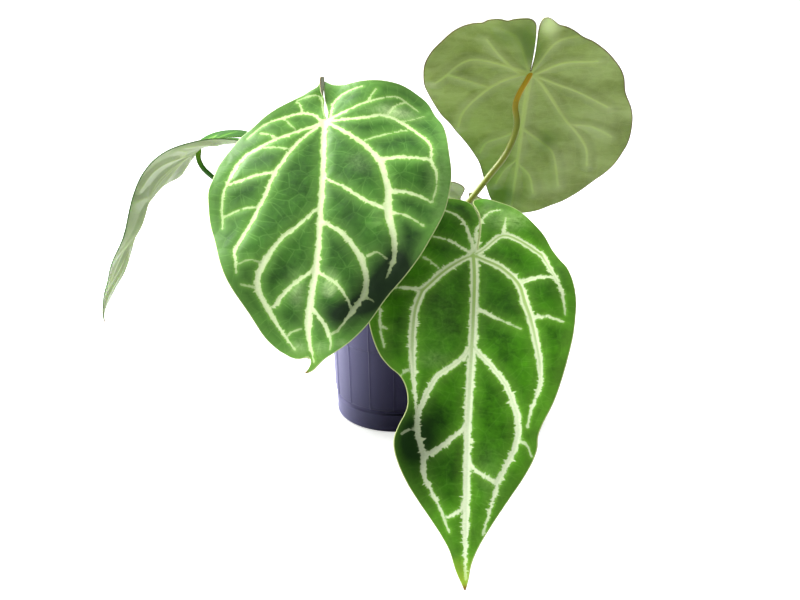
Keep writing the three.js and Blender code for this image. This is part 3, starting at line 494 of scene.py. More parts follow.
def blade(name, leaf, rays, rings, materials):
    """A blade as one closed sheet. In each half, straight rays run from an inner line to an outer one: the
    inner line climbs the edge of the notch from the lobe's corner to the stalk and follows the midrib to
    the tip, the outer one is the margin from that corner round to the tip, and the rays beside the notch
    end where the margin is level with the stalk. The sheet is offset both ways by half its thickness, which
    falls to nothing over the lip at the margin as a half ellipse, and the underside is let out further by
    the ribs."""
    notch = int(NOTCH_SHARE * rays)
    climb = evenly(np.array([leaf["right"][0], (0.0, 0.0)]), CLIMB_STEPS)
    spine = smooth_line(leaf.get("spine", [(0, 0), leaf["right"][-1]]), LINE_POINTS)
    rib_line = np.vstack([climb[:-1], evenly(spine, rays - notch - CLIMB_STEPS)])
    flats, sides, rims, margins, triangles = [], [], [], [], []
    count = 0
    for side, margin, corner in zip((1, -1), (leaf["right"], leaf["left"]), leaf["corners"]):
        line = smooth_line(margin, LINE_POINTS)
        edge, outer = line[:corner * LINE_POINTS + 1], line[corner * LINE_POINTS:]
        inner = np.vstack([evenly(edge[::-1], notch)[:-1], rib_line])
        level = np.argmax(np.arctan2(outer[:, 1], side * outer[:, 0]) > LEVEL_ANGLE)
        outer = np.vstack([evenly(outer[:level + 1], notch)[:-1], evenly(outer[level:], rays - notch)])
        reach = np.linalg.norm(outer - inner, axis=1)
        lip = np.minimum(LIP / np.maximum(reach, 1e-6), 0.2)[:, None]
        between = lip + np.linspace(0, 1, rings - 5)[None] * (1 - 2 * lip)
        u = np.concatenate([0 * lip, 0.14 * lip, 0.5 * lip, between,
                            1 - 0.5 * lip, 1 - 0.14 * lip, 0 * lip + 1], 1)
        part = (inner[:, None] + (outer - inner)[:, None] * u[..., None]).reshape(-1, 2)
        border = np.vstack([outer, inner[:notch + 1]]).astype(np.float32)
        for some in np.array_split(part.astype(np.float32), GOES):
            rims.append(np.sqrt(((some[:, None] - border) ** 2).sum(-1).min(1)))
        sides.append(np.full(len(part), side))
        flats.append(part)
        a, d, c, b = grid_faces(rays + 1, rings + 1, closed=False, start=count).T
        pair = np.concatenate([np.stack([a, b, c], 1), np.stack([a, c, d], 1)])
        triangles.append(pair if side > 0 else pair[:, ::-1])
        starts = count + np.arange(rays + 1) * (rings + 1)
        margins += [starts + rings, starts[:notch + 1]]
        count += (rays + 1) * (rings + 1)

    # The two halves share their midrib: points that lie in one place become one.
    _, first, same = np.unique(np.round(np.vstack(flats), 4), axis=0, return_index=True, return_inverse=True)
    same = same.ravel()
    flat = np.vstack(flats)[first]
    faces = same[np.vstack(triangles)]
    faces = faces[(faces[:, 0] != faces[:, 1]) & (faces[:, 1] != faces[:, 2]) & (faces[:, 2] != faces[:, 0])]
    on_margin = np.zeros(len(flat), bool)
    on_margin[same[np.concatenate(margins)]] = True
    rim = np.concatenate(rims)[first]
    x, y = flat.T
    inside, along, aside, groove, rib, clear = vein_field(leaf, x, y)
    height = blade_height(leaf, x, y, groove)
    moved = x
    if "flap" in leaf:
        on_left = np.concatenate(sides)[first] < 0
        rolled, lift = curled(leaf, x, y)
        moved = np.where(on_left, rolled, x)
        height = height + np.where(on_left, lift, 0)
    middle = blade_point(leaf, moved, y, height)
    normals = blade_normals(middle, faces)
    offset = BLADE_THICKNESS / 2 * np.sqrt(1 - (1 - np.clip(rim / LIP, 0, 1)) ** 2)
    offset[on_margin] = 0
    rib = rib * np.clip(rim / 4, 0, 1)
    upper = middle + normals * offset[:, None]
    lower = (middle - normals * (offset + rib)[:, None])[~on_margin]
    under = np.where(on_margin, np.arange(len(flat)), len(flat) + np.cumsum(~on_margin) - 1)
    both = np.concatenate([np.arange(len(flat)), np.flatnonzero(~on_margin)])
    # shade carries the painted shade and painted sheen of the patches to the skins.
    fields = {"flat": np.stack([x, y, 0 * x], 1)[both], "vein": np.stack([inside, along, aside], 1)[both],
              "rim": rim[both], "clear": clear[both], "shade": patches(leaf, x, y)[both]}
    return mesh_of(name, np.vstack([upper, lower]), np.vstack([faces, under[faces][:, ::-1]]), materials,
                   np.repeat([0, 1], len(faces)), fields)


def leaf_joint(leaf):
    """The point of the blade over the stalk's end and the blade's upward direction there, from two short
    steps."""
    x = np.array([0, 0.4, -0.4, 0, 0])
    y = np.array([0, 0, 0, 0.4, -0.4])
    groove = vein_field(leaf, x, y)[3]
    p = blade_point(leaf, x, y, blade_height(leaf, x, y, groove))
    up = np.cross(p[3] - p[4], p[1] - p[2])
    return p[0], up / np.linalg.norm(up)


def stalk(name, leaf, material, thickness, swell, steps=110, sides=24):
    """A round stalk along its smooth line, with u from 0 at its foot to 1 at its top. Its radius is
    thickness + 0.9 exp(-(u/0.1)^2) + swell exp(-((u - 0.95)/0.09)^2), thick at the foot and swollen or
    drawn in at the joint under the blade, made a little uneven by a wave round it and a soft ripple. It
    meets the blade square, and where the last point it passes is over 18 mm away, it runs straight for its
    last 11 mm."""
    top, up = leaf_joint(leaf)
    end = top - up * (BLADE_THICKNESS / 2 + STALK_GAP)
    foot, height = leaf["stalk_foot"]
    turn = np.radians(foot)
    through = [(SOCKET_START * np.cos(turn), SOCKET_START * np.sin(turn), height)] + list(leaf["stalk"])
    if np.linalg.norm(np.array(leaf["stalk"][-1]) - end) > 18:
        through.append(tuple(end - up * 11))
    line = evenly(smooth_line(through + [tuple(end)], 16), steps)
    line = np.vstack([line, end + up * 0.6])
    tangent = np.gradient(line, axis=0)
    tangent[-1] = tangent[-2] = up
    tangent /= np.linalg.norm(tangent, axis=1)[:, None]
    level = np.cross(line[-1] - line[0], [0, 0, 1.0])
    side = level - tangent * (tangent @ level)[:, None]
    side /= np.linalg.norm(side, axis=1)[:, None]
    other = np.cross(tangent, side)
    u = np.append(np.linspace(0, 1, steps + 1), 1.0)
    around = np.linspace(0, 2 * np.pi, sides, endpoint=False)[None]
    radius = (thickness + 0.9 * np.exp(-(u / 0.1) ** 2) + swell * np.exp(-((u - 0.95) / 0.09) ** 2))[:, None]
    uneven = ripple(40 * u[:, None], 3 * around, 0 * u[:, None], 9, 5)
    radius = radius * (1 + 0.03 * np.cos(3 * around) + 0.025 * uneven)
    ring = (line[:, None] + side[:, None] * (radius * np.cos(around))[..., None]
            + other[:, None] * (radius * np.sin(around))[..., None])
    points = np.vstack([ring.reshape(-1, 3), line[:1], line[-1:]])
    rows = len(line)
    quads = grid_faces(rows, sides)
    near = rows * sides
    j = np.arange(sides)
    k = (j + 1) % sides
    foot_cap = np.stack([0 * j + near, k, j], 1)
    top_cap = np.stack([0 * j + near + 1, j + near - sides, k + near - sides], 1)
    triangles = np.concatenate([quads[:, [0, 1, 2]], quads[:, [0, 2, 3]], foot_cap, top_cap])
    length = np.linalg.norm(np.diff(line, axis=0), axis=1).sum()
    place = np.stack([np.repeat(u * length, sides), np.tile(radius.mean() * around.ravel(), rows),
                      np.repeat(u, sides)], 1)
    place = np.vstack([place, [0, 0, 0], [length, 0, 1]])
    return mesh_of(name, points, triangles, [material], fields={"skin": place})


# Pot, potting mix and stem

def inner_radius(z):
    """Inner radius of the pot's wall: base + 0.6 + 3.2 z/height, less the wall, and drawn in by 1.2 mm with
    the foot from z = 18 down to z = 15."""
    return BASE_RADIUS + 0.6 + z / POT_HEIGHT * 3.2 - WALL - 1.2 * np.clip((18 - z) / 3, 0, 1)


def pot(materials):
    """The pot turned from its outline: r(z, angle) = outline(z) + rib(angle) rise(z), where each rib is
    RIB_PROUD exp(-(offset/0.62 degrees)^2) and rise is 1 between the foot band and the rim. The wall is
    closed through the rim and back down inside. The floor is a plate of six sectors, each a grid from the
    rim of its drain hole to the sector's border, above and below, with a hub in the middle."""
    b, r, mouth = BASE_RADIUS, RIM_RADIUS, inner_radius(POT_HEIGHT)
    outline = [(b - 2.6, 0, 0), (b - 1.0, 0, 0), (b - 0.45, 0.12, 0), (b - 0.1, 0.45, 0), (b + 0.15, 1.0, 0),
               (b + 0.2, 2.2, 0), (b + 0.05, 2.5, 0), (b - 0.1, 2.9, 0), (b + 0.1, 5.5, 0),
               (b + 0.25, 8.5, 0), (b + 0.45, 11.1, 0), (b + 0.42, 11.5, 0), (b + 0.25, 11.8, 0),
               (b - 0.4, 12.1, 0), (b - 0.8, 12.5, 0), (b - 0.8, 14.0, 0), (b - 0.2, 14.5, 0.2),
               (b + 0.75, 14.9, 0.8), (b + 0.95, 15.4, 1)]
    outline += [(b + 0.95 + 1.35 * k / 13, 15.4 + 39 * k / 13, 1) for k in range(1, 14)]
    outline += [(b + 2.45, 54.7, 1), (b + 2.75, 55.0, 1), (b + 2.9, 55.4, 1)]
    outline += [(b + 2.9 + 1.1 * k / 9, 55.4 + 28.8 * k / 9, 1) for k in range(1, 10)]
    outline += [(b + 4.2, 84.7, 0.9), (b + 5.2, 85.1, 0.4), (r - 0.4, 85.35, 0), (r - 0.08, 85.5, 0),
                (r, 85.9, 0), (r, 88.5, 0), (r, 91.0, 0), (r - 0.12, 91.55, 0), (r - 0.4, 91.88, 0),
                (r - 0.8, POT_HEIGHT, 0), (mouth + 1.6, POT_HEIGHT, 0), (mouth + 1.1, 91.7, 0),
                (mouth + 0.85, 91.0, 0), (mouth + 0.7, 89.6, 0), (inner_radius(86) + 0.2, 86, 0)]
    outline += [(inner_radius(z), z, 0) for z in (84, 70, 50, 30, 18, 15, 3.0)]
    outline += [(inner_radius(2) - 0.3, FLOOR + 0.4, 0), (inner_radius(2) - 1.4, FLOOR, 0)]
    radius, z, rise = (np.array(v, float)[:, None] for v in zip(*outline))
    beside = np.array([0.27, 0.55, 0.85, 1.25, 2.4, 4.6])
    offsets = np.concatenate([-beside[::-1], [0], beside, [7, 11.25, 15.5]])
    rib = np.tile(RIB_PROUD * np.exp(-(offsets / 0.62) ** 2), RIB_COUNT)
    angle = np.radians((RIB_TURN + 360 / RIB_COUNT * np.arange(RIB_COUNT)[:, None] + offsets).ravel())[None]
    out = radius + rise * rib
    wall = np.stack([out * np.cos(angle), out * np.sin(angle), z + 0 * angle], -1).reshape(-1, 3)
    rows, columns = len(outline), angle.size
    faces = [grid_faces(rows, columns)]
    j = np.arange(columns)
    k = (j + 1) % columns
    last = (rows - 1) * columns
    faces.append(np.stack([last + j, last + k, k, j], 1))
    points, count = [wall], len(wall)

    # The floor, from its edge in to the hub
    edge = BASE_RADIUS - 1.8
    hub = 15.0
    span = np.radians(180 / DRAIN_COUNT)
    t = np.linspace(-span, span, 13)[:-1]
    run, back = np.linspace(edge, hub, 7)[:-1], np.linspace(hub, edge, 7)[:-1]
    border = np.concatenate([np.stack([edge * np.cos(t), edge * np.sin(t)], 1),
                             np.stack([run * np.cos(span), run * np.sin(span)], 1),
                             np.stack([hub * np.cos(-t), hub * np.sin(-t)], 1),
                             np.stack([back * np.cos(span), -back * np.sin(span)], 1)])
    middle = np.array([DRAIN_CIRCLE, 0.0])
    away = border - middle
    hole = middle + away / np.linalg.norm(away, axis=1)[:, None] * DRAIN_RADIUS
    share = np.array([0, 0, 0.04, 0.3, 0.65, 1.0])[:, None, None]
    sheet = hole * (1 - share) + border * share
    top = np.array([FLOOR * 0.5, FLOOR - 0.15, FLOOR, FLOOR, FLOOR, FLOOR])[:, None] + 0 * sheet[..., 0]
    low = np.array([FLOOR * 0.5, 0.45, 0.3, 0.3, 0.3, 0.3])[:, None] + 0 * sheet[..., 0]
    for n in range(DRAIN_COUNT):
        turn = np.radians(30 + 360 * n / DRAIN_COUNT)
        x = sheet[..., 0] * np.cos(turn) - sheet[..., 1] * np.sin(turn)
        y = sheet[..., 0] * np.sin(turn) + sheet[..., 1] * np.cos(turn)
        for level, flip in ((top, -1), (low, 1)):
            points.append(np.stack([x, y, level], -1).reshape(-1, 3))
            faces.append(grid_faces(6, len(border), start=count)[:, ::flip])
            count += x.size
    ring = np.concatenate([np.radians(30 + 360 * n / DRAIN_COUNT) + t for n in range(DRAIN_COUNT)])
    for level, flip in ((FLOOR, 1), (0.3, -1)):
        part = np.array([0.001, 0.5, 1])[:, None] * hub
        disc = np.stack([part * np.cos(ring), part * np.sin(ring), level + 0 * part * ring], -1)
        points.append(disc.reshape(-1, 3))
        faces.append(grid_faces(3, len(ring), start=count)[:, ::-flip])
        count += 3 * len(ring)
    return mesh_of("nursery_pot", np.vstack(points), np.vstack(faces), materials)


def surface_height(x, y):
    """Height of the potting mix: its level + 1.5 (1 - r/40) + 1.1 ripple of 14 mm + 0.5 ripple of 5 mm."""
    crown = 1.5 * (1 - np.hypot(x, y) / 40)
    return MIX_TOP + crown + 1.1 * ripple(x, y, 0 * x, 14, 3) + 0.5 * ripple(x, y, 0 * x, 5, 4)


def crumbs(count, size, flat, near, far, seed):
    """Crumbs lying on the mix between the radii near and far: each starts as a block of 3 x 3 x 3 points,
    drawn half way to a ball, every point shifted a little, then scaled, turned by a random rotation and set
    on the surface."""
    draw = np.random.default_rng(seed)
    block = np.stack(np.meshgrid(*[[-1, 0, 1.0]] * 3, indexing="ij"), -1).reshape(-1, 3)
    names = {tuple(p): k for k, p in enumerate(block)}
    quads = []
    for axis in range(3):
        for end in (-1.0, 1.0):
            u, v = [k for k in range(3) if k != axis]
            for i in (-1.0, 0.0):
                for k in (-1.0, 0.0):
                    corner = []
                    for du, dv in ((0, 0), (1, 0), (1, 1), (0, 1)):
                        p = [0.0] * 3
                        p[axis], p[u], p[v] = end, i + du, k + dv
                        corner.append(names[tuple(p)])
                    turned = (end > 0) == (axis != 1)
                    quads.append(corner if turned else corner[::-1])
    quads = np.array(quads)
    length = np.linalg.norm(block, axis=1)[:, None]
    round_block = block * (0.45 + 0.55 / np.maximum(length, 1))
    shape = round_block[None] + draw.normal(0, 0.1, (count, 27, 3))
    scale = size * draw.uniform(0.5, 1.4, (count, 1, 1)) * np.array([1, draw.uniform(0.55, 0.8), flat])
    q = draw.normal(size=(count, 4)) * np.array([2.5, 0.6, 0.6, 2.0])
    w, a, b, c = (q / np.linalg.norm(q, axis=1)[:, None]).T
    turn = np.stack([1 - 2 * (b * b + c * c), 2 * (a * b - c * w), 2 * (a * c + b * w),
                     2 * (a * b + c * w), 1 - 2 * (a * a + c * c), 2 * (b * c - a * w),
                     2 * (a * c - b * w), 2 * (b * c + a * w), 1 - 2 * (a * a + b * b)], 1).reshape(-1, 3, 3)
    points = np.einsum("nij,nkj->nki", turn, shape * scale)
    reach = np.sqrt(draw.uniform(near ** 2, far ** 2, count))
    around = draw.uniform(0, 2 * np.pi, count)
    x, y = reach * np.cos(around), reach * np.sin(around)
    place = np.stack([x, y, surface_height(x, y) + size * flat * draw.uniform(0.0, 0.7, count)], 1)
    faces = (quads[None] + 27 * np.arange(count)[:, None, None]).reshape(-1, 4)
    return (points + place[:, None]).reshape(-1, 3), faces


def potting_mix(materials):
    """The mix as a closed body: a disc z = surface_height(x, y) inside the wall, its side, and its
    underside, with bark chips, coir crumbs and grains of perlite lying on it."""
    columns, rows = 200, 56
    around = np.linspace(0, 2 * np.pi, columns, endpoint=False)
    reach = np.linspace(0.001, 1, rows)[:, None] * (inner_radius(MIX_TOP) - GAP)
    x, y = reach * np.cos(around), reach * np.sin(around)
    top = np.stack([x, y, surface_height(x, y)], -1)
    low = FLOOR + GAP
    rings = [(inner_radius(z) - GAP, z) for z in (70, 40, 18, 15, low)] + [(0.05, low)]
    side = [np.stack([r * np.cos(around), r * np.sin(around), np.full(columns, z)], 1) for r, z in rings]
    parts = [np.vstack(side[::-1] + [top[::-1].reshape(-1, 3)])]
    quads = [grid_faces(rows + len(side), columns)]
    kinds = [np.zeros(len(quads[0]), int)]
    count = len(parts[0])
    for kind, amount, size, flat, seed in (
            (1, 330, 3.4, 0.3, 21), (0, 520, 1.5, 0.45, 22), (2, 150, 1.35, 0.8, 23)):
        more, faces = crumbs(amount, size, flat, 11.0, 36.0, seed)
        parts.append(more)
        quads.append(faces + count)
        kinds.append(np.full(len(faces), kind))
        count += len(more)
    return mesh_of("potting_mix_surface", np.vstack(parts), np.vstack(quads), materials,
                   np.concatenate(kinds))


def stem(materials):
    """The short stem: r(z, angle) = outline(z) + f (0.22 sin(2 pi z/2.9 + sin angle) + 0.3 ripple - 0.3),
    the sine for the ring scars of old leaves, and f = outline/6, at most 1. Round it stand five dry
    sheaths, each a lens-shaped strip with half its width w sqrt(1 - s^2) (1 - 0.3 s), bent round the stem
    and leaning out with its height."""
    outline = smooth_line([(7.6, STEM_FOOT), (8.6, 66), (9, 78), (9.6, 82), (9.2, 84), (9.9, 88),
                           (9.4, 89.8), (8.1, 92.4), (5.4, 94.3), (2.2, 94.95), (0.02, STEM_TOP)], 7)
    columns = 72
    around = np.linspace(0, 2 * np.pi, columns, endpoint=False)[None]
    radius, z = outline[:, :1], outline[:, 1:]
    fade = np.clip(radius / 6, 0, 1)
    out = radius + fade * (0.22 * np.sin(2 * np.pi * z / 2.9 + np.sin(around))
                           + 0.3 * ripple(9 * np.cos(around), 9 * np.sin(around), z, 7, 8) - 0.3)
    out = np.maximum(out, 0.01)
    body = np.stack([out * np.cos(around), out * np.sin(around), z + 0 * around], -1).reshape(-1, 3)
    foot = np.array([[0.0, 0.0, STEM_FOOT]])
    j = np.arange(columns)
    k = (j + 1) % columns
    points = [body, foot]
    faces = [grid_faces(len(outline), columns), np.stack([k, j, 0 * j + len(body), 0 * j + len(body)], 1)]
    count = len(body) + 1
    kinds = [np.zeros(len(faces[0]) + columns, int)]
    for angle, base, tall, wide, lean in (
            (-80, 79.5, 15, 4.2, 2.6), (35, 79, 19, 4.8, 3.4), (150, 80, 13, 4.0, 2.2),
            (215, 79.5, 17, 4.4, 3.0), (95, 80, 11, 3.6, 1.8)):
        s = np.linspace(-1, 1, 21)[:, None]
        t = np.linspace(0, 2 * np.pi, 18, endpoint=False)[None]
        lens = np.sqrt(np.clip(1 - s ** 2, 0.0004, 1))
        width = wide * lens * (1 - 0.3 * s) * np.cos(t)
        climb = (s + 1) / 2
        distance = 9.9 + lean * climb ** 2 + 0.25 * np.sin(t) * lens + 0.35 * np.sin(5 * climb + width)
        turn = np.radians(angle) + width / 10.5
        strip = np.stack([distance * np.cos(turn), distance * np.sin(turn), base + tall * climb + 0 * t], -1)
        points.append(strip.reshape(-1, 3))
        faces.append(grid_faces(21, 18, start=count)[:, ::-1])
        kinds.append(np.ones(len(faces[-1]), int))
        count += 21 * 18
    quads = np.vstack(faces)
    owners = np.concatenate(kinds)
    split = np.vstack([quads[:, [0, 1, 2]], quads[:, [0, 2, 3]]])
    keep = (split[:, 0] != split[:, 1]) & (split[:, 1] != split[:, 2]) & (split[:, 2] != split[:, 0])
    return mesh_of("short_stem", np.vstack(points), split[keep], materials, np.tile(owners, 2)[keep])


# Materials

# A Map Range set so grows on a smooth S curve.
SMOOTH = {"interpolation_type": "SMOOTHSTEP"}


def linear(code):
    """An sRGB hex colour as the linear colour that the shader wants."""
    value = np.array([int(code[k:k + 2], 16) for k in (1, 3, 5)]) / 255
    return (*np.where(value <= 0.04045, value / 12.92, ((value + 0.055) / 1.055) ** 2.4).tolist(), 1.0)


def feed(node, inputs):
    """Gives each input of a node its value, a hex colour turned linear, or a link from another node's
    output. A list holds them in the node's own order, and a dictionary by name or number."""
    for key, value in inputs.items() if isinstance(inputs, dict) else enumerate(inputs):
        if isinstance(value, bpy.types.NodeSocket):
            node.id_data.links.new(value, node.inputs[key])
        else:
            node.inputs[key].default_value = linear(value) if isinstance(value, str) else value


def add(tree, kind, inputs=(), out=None, **settings):
    """One shader node with its inputs and its own settings. Gives back the output asked for, or else the
    first one in use. Map Range takes the value, where its range starts and ends, and what it gives there.
    Mix has the share at 0 and what it mixes at 6 and 7, or at 2 and 3 for plain numbers."""
    new = tree.nodes.new("ShaderNode" + kind)
    for key, value in settings.items():
        setattr(new, key, value)
    feed(new, inputs)
    return new.outputs[out] if out else next((each for each in new.outputs if each.enabled), None)


def coat(tree, under, over, field, start, end, most=1.0, soft=True):
    """A coat of colour over the colour under it: it covers nothing where the field is at start and its most
    at end, and grows between them on a smooth S curve, or evenly when it isn't soft."""
    cover = add(tree, "MapRange", [field, start, end, 0.0, most], **(SMOOTH if soft else {}))
    return add(tree, "Mix", {0: cover, 6: under, 7: over}, data_type="RGBA")


def blank(name):
    """A new material and its node tree."""
    material = bpy.data.materials.new(name)
    material.use_nodes = True
    return material, material.node_tree


def finished(material, surface):
    """The same material with its shader's sockets fed."""
    feed(material.node_tree.nodes["Principled BSDF"], surface)
    return material


def leaf_upper(name, tones, tip):
    """Upper skin of the leaf: a fine velvet of domed cells over dark green, so it shines softly and looks
    darkest straight on, with cream veins whose edges feather into the green.

    The blade's own attributes drive it: flat is the place on the flat blade in mm, vein holds how far
    inside a vein the point lies and the lengths along and aside of it in mm, rim is the distance to the
    margin in mm, clear how clear the vein stands, and shade how much painted shade (below 0) or painted
    sheen (above 0) lies on the skin there."""
    material, tree = blank(name)
    flat = add(tree, "Attribute", out="Vector", attribute_name="flat")
    vein = add(tree, "Attribute", out="Vector", attribute_name="vein")
    inside, along, aside = add(tree, "SeparateXYZ", [vein]).node.outputs
    rim, clear, shade = (add(tree, "Attribute", out="Fac", attribute_name=key)
                         for key in ("rim", "clear", "shade"))

    # Feathered edge: ragged teeth of pale tissue stand out from the vein, stretched across it. They are
    # really about 0.3 mm apart, and drawn 0.6 mm apart to show. Here and there one grows into a spur, and
    # the vein's own edge wanders over 3 mm.
    across = add(tree, "Math", [aside, 0.3], operation="MULTIPLY")
    comb = add(tree, "CombineXYZ", [along, across])
    hairs = add(tree, "TexNoise", {"Vector": comb, "Scale": 1.5, "Detail": 3.0, "Roughness": 0.7})
    fringe = tones["fringe"]
    spike = add(tree, "MapRange", [hairs, 0.4, 0.66, -0.3 * fringe, fringe], clamp=False)
    flank = add(tree, "CombineXYZ", [along, add(tree, "Math", [aside], operation="SIGN")])
    spur = add(tree, "TexNoise", {"Vector": flank, "Scale": 0.42, "Detail": 2.0, "Roughness": 0.6})
    spur = add(tree, "MapRange", [spur, 0.6, 0.75, 0.0, tones["spur"]])
    wander = add(tree, "TexNoise", {"Vector": flat, "Scale": 0.33, "Detail": 2.0})
    wander = add(tree, "MapRange", [wander, 0.3, 0.7, -0.45, 0.45], clamp=False)
    shift = add(tree, "Math", [spike, wander], operation="ADD")
    shift = add(tree, "Math", [shift, spur], operation="ADD")
    shift = add(tree, "Math", [shift, clear], operation="MULTIPLY")
    edge = add(tree, "Math", [inside, shift], operation="ADD")
    on_vein = add(tree, "MapRange", [edge, 0.0, 0.2], **SMOOTH)
    on_vein = add(tree, "Math", [on_vein, clear], operation="MULTIPLY")

    # Green between the veins: clouds of 20 mm, mottling of 2 mm, and within 8 mm of a vein fine streaks 1.2
    # mm apart that run off across it.
    clouds = add(tree, "TexNoise", {"Vector": flat, "Scale": 0.05, "Detail": 6.0, "Roughness": 0.6})
    speck = add(tree, "TexNoise", {"Vector": flat, "Scale": 0.5, "Detail": 5.0, "Roughness": 0.75})
    across = add(tree, "Math", [aside, 0.13], operation="MULTIPLY")
    run = add(tree, "CombineXYZ", [along, across])
    streak = add(tree, "TexNoise", {"Vector": run, "Scale": 0.8, "Detail": 4.0, "Roughness": 0.7})
    near = add(tree, "MapRange", [inside, -8.0, -1.0, 0.0, 0.75], **SMOOTH)
    fine_grain = add(tree, "Mix", {0: near, 2: speck, 3: streak}, data_type="FLOAT")
    half = tones["mottle"] / 2
    fine_tone = add(tree, "MapRange", {0: fine_grain, 3: -half, 4: half})
    tone = add(tree, "Math", [clouds, fine_tone], operation="ADD")
    green = coat(tree, tones["dark"], tones["green"], tone, 0.275, 0.755, soft=False)

    # Net of small veins: rungs every 6.5 mm run off square from the nearest vein and fade beyond 10 mm, and
    # wavy meshes of about 9 mm join them. Both show more where the clouds are light.
    warp = add(tree, "TexNoise", {"Vector": flat, "Scale": 0.07, "Detail": 1.0, "Roughness": 0.5}).node
    turned = add(tree, "Math", [warp.outputs["Fac"], 5.0, along], operation="MULTIPLY_ADD")
    rung = add(tree, "Math", [turned, 1 / 6.5], operation="MULTIPLY")
    rung = add(tree, "Math", [rung, 0.5], operation="PINGPONG")
    rung = add(tree, "MapRange", [rung, 0.06, 0.0], **SMOOTH)
    reach = add(tree, "MapRange", [inside, -10.0, -3.0, 0.2, 0.8])
    rung = add(tree, "Math", [rung, reach], operation="MULTIPLY")
    begin = add(tree, "MapRange", [inside, -0.5, -3.0, 0.2, 1.0])
    rung = add(tree, "Math", [rung, begin], operation="MULTIPLY")
    bent = add(tree, "VectorMath", [warp.outputs["Color"], (6.0, 6.0, 0.0), flat], operation="MULTIPLY_ADD")
    wide = add(tree, "TexVoronoi", {"Vector": bent, "Scale": 0.11, "Randomness": 1.0},
               feature="DISTANCE_TO_EDGE", voronoi_dimensions="2D")
    wide_line = add(tree, "MapRange", [wide, 0.05, 0.0, 0.0, 0.5], **SMOOTH)
    net = add(tree, "Math", [wide_line, rung], operation="MAXIMUM")
    places = add(tree, "MapRange", [clouds, 0.35, 0.62, 0.2 * tones["net"], tones["net"]])
    net = add(tree, "Math", [net, places], operation="MULTIPLY")
    green = add(tree, "Mix", {0: net, 6: green, 7: tones["net_line"]}, data_type="RGBA")

    # Lighter bands: broad ones, 9 mm in from the margin and 6.5 mm out from the veins, and a bright one of
    # 1.3 mm where a vein's edge begins.
    band = add(tree, "MapRange", [rim, 9.0, 1.0, 0.0, tones["band"]], **SMOOTH)
    broad = add(tree, "MapRange", [inside, -6.5, 0.0, 0.0, tones["glow"]], **SMOOTH)
    band = add(tree, "Math", [band, broad], operation="MAXIMUM")
    green = add(tree, "Mix", {0: band, 6: green, 7: tones["band_green"]}, data_type="RGBA")
    halo = add(tree, "MapRange", [edge, -1.3, 0.0, 0.0, tones["halo"]], **SMOOTH)
    halo = add(tree, "Math", [halo, clear], operation="MULTIPLY")
    green = add(tree, "Mix", {0: halo, 6: green, 7: tones["halo_green"]}, data_type="RGBA")

    # The vein is greener at its edges and where it is thin, cream in the middle of a wide one and towards
    # the leaf's tip, with green hairs in it and a yellow-green line 1.4 mm wide along its middle that fades
    # towards the tip. In the shade both it and the green turn dark, the vein less.
    whiter = add(tree, "MapRange", [inside, 0.1, 1.7, 0.0, 0.75])
    to_tip = add(tree, "SeparateXYZ", [flat], out="Y")
    down = add(tree, "MapRange", [to_tip, 10.0, 110.0, 0.0, 0.25])
    whiter = add(tree, "Math", [whiter, down], operation="ADD")
    cream = add(tree, "Mix", {0: whiter, 6: tones["vein_edge"], 7: tones["vein"]}, data_type="RGBA")
    cream = coat(tree, cream, tones["halo_green"], hairs, 0.4, 0.8, 0.35, soft=False)
    off = add(tree, "Math", [aside, 0.25], operation="SUBTRACT")
    off = add(tree, "Math", [off], operation="ABSOLUTE")
    core = add(tree, "MapRange", [off, 1.4, 0.7, 0.0, tones["core"]], **SMOOTH)
    wide_enough = add(tree, "MapRange", [inside, 0.7, 1.6])
    core = add(tree, "Math", [core, wide_enough], operation="MULTIPLY")
    fade = add(tree, "MapRange", [to_tip, 25.0, 95.0, 1.0, 0.3])
    core = add(tree, "Math", [core, fade], operation="MULTIPLY")
    cream = add(tree, "Mix", {0: core, 6: cream, 7: tones["vein_core"]}, data_type="RGBA")
    # Painted shade: where shade is below 0, the green, and the cream less, are darkened towards deep_shade.
    green = coat(tree, green, tones["deep_shade"], shade, 0.0, -1.0, 0.96, soft=False)
    cream = coat(tree, cream, tones["deep_shade"], shade, 0.0, -1.0, 0.576, soft=False)
    colour = add(tree, "Mix", {0: on_vein, 6: green, 7: cream}, data_type="RGBA")

    # The rolled margin is thin and pale, the tip yellow-green over its last 17 mm, and its beak dry and
    # brown.
    colour = coat(tree, colour, tones["margin"], rim, 0.7, 0.25, 0.8)
    away = add(tree, "VectorMath", [flat, (*tip, 0.0)], operation="DISTANCE")
    colour = coat(tree, colour, "#a9c83c", away, 17.0, 5.0, tones["tip"], soft=False)
    colour = coat(tree, colour, "#7d4a24", away, 3.5, 0.8, 0.85)

    # Painted sheen: where shade is above 0, a pale colour stands in for the softbox's soft sheen on the
    # velvet, broken up by the fine grain of the green.
    painted_sheen = add(tree, "MapRange", [shade, 0.0, 1.0, 0.0, 0.8])
    broken = add(tree, "MapRange", [fine_grain, 0.35, 0.65, 0.3, 1.5])
    painted_sheen = add(tree, "Math", [painted_sheen, broken], operation="MULTIPLY")
    colour = add(tree, "Mix", {0: painted_sheen, 6: colour, 7: tones["painted_sheen"]}, data_type="RGBA")

    # Relief of 0.35 mm in all: the meshes of the net swell, and the velvet is a grain of 0.7 mm, drawn
    # coarse to show.
    swell = add(tree, "MapRange", [wide, 0.0, 0.35], **SMOOTH)
    velvet = add(tree, "TexNoise", {"Vector": flat, "Scale": 1.4, "Detail": 2.0})
    relief = add(tree, "Math", [velvet, 0.3, swell], operation="MULTIPLY_ADD")
    bump = add(tree, "Bump", {"Height": relief, "Strength": 0.25, "Distance": 0.00035})
    return finished(material, {"Base Color": colour, "Normal": bump, "Roughness": 0.42, "IOR": 1.42,
                               "Specular IOR Level": tones["gloss"]})


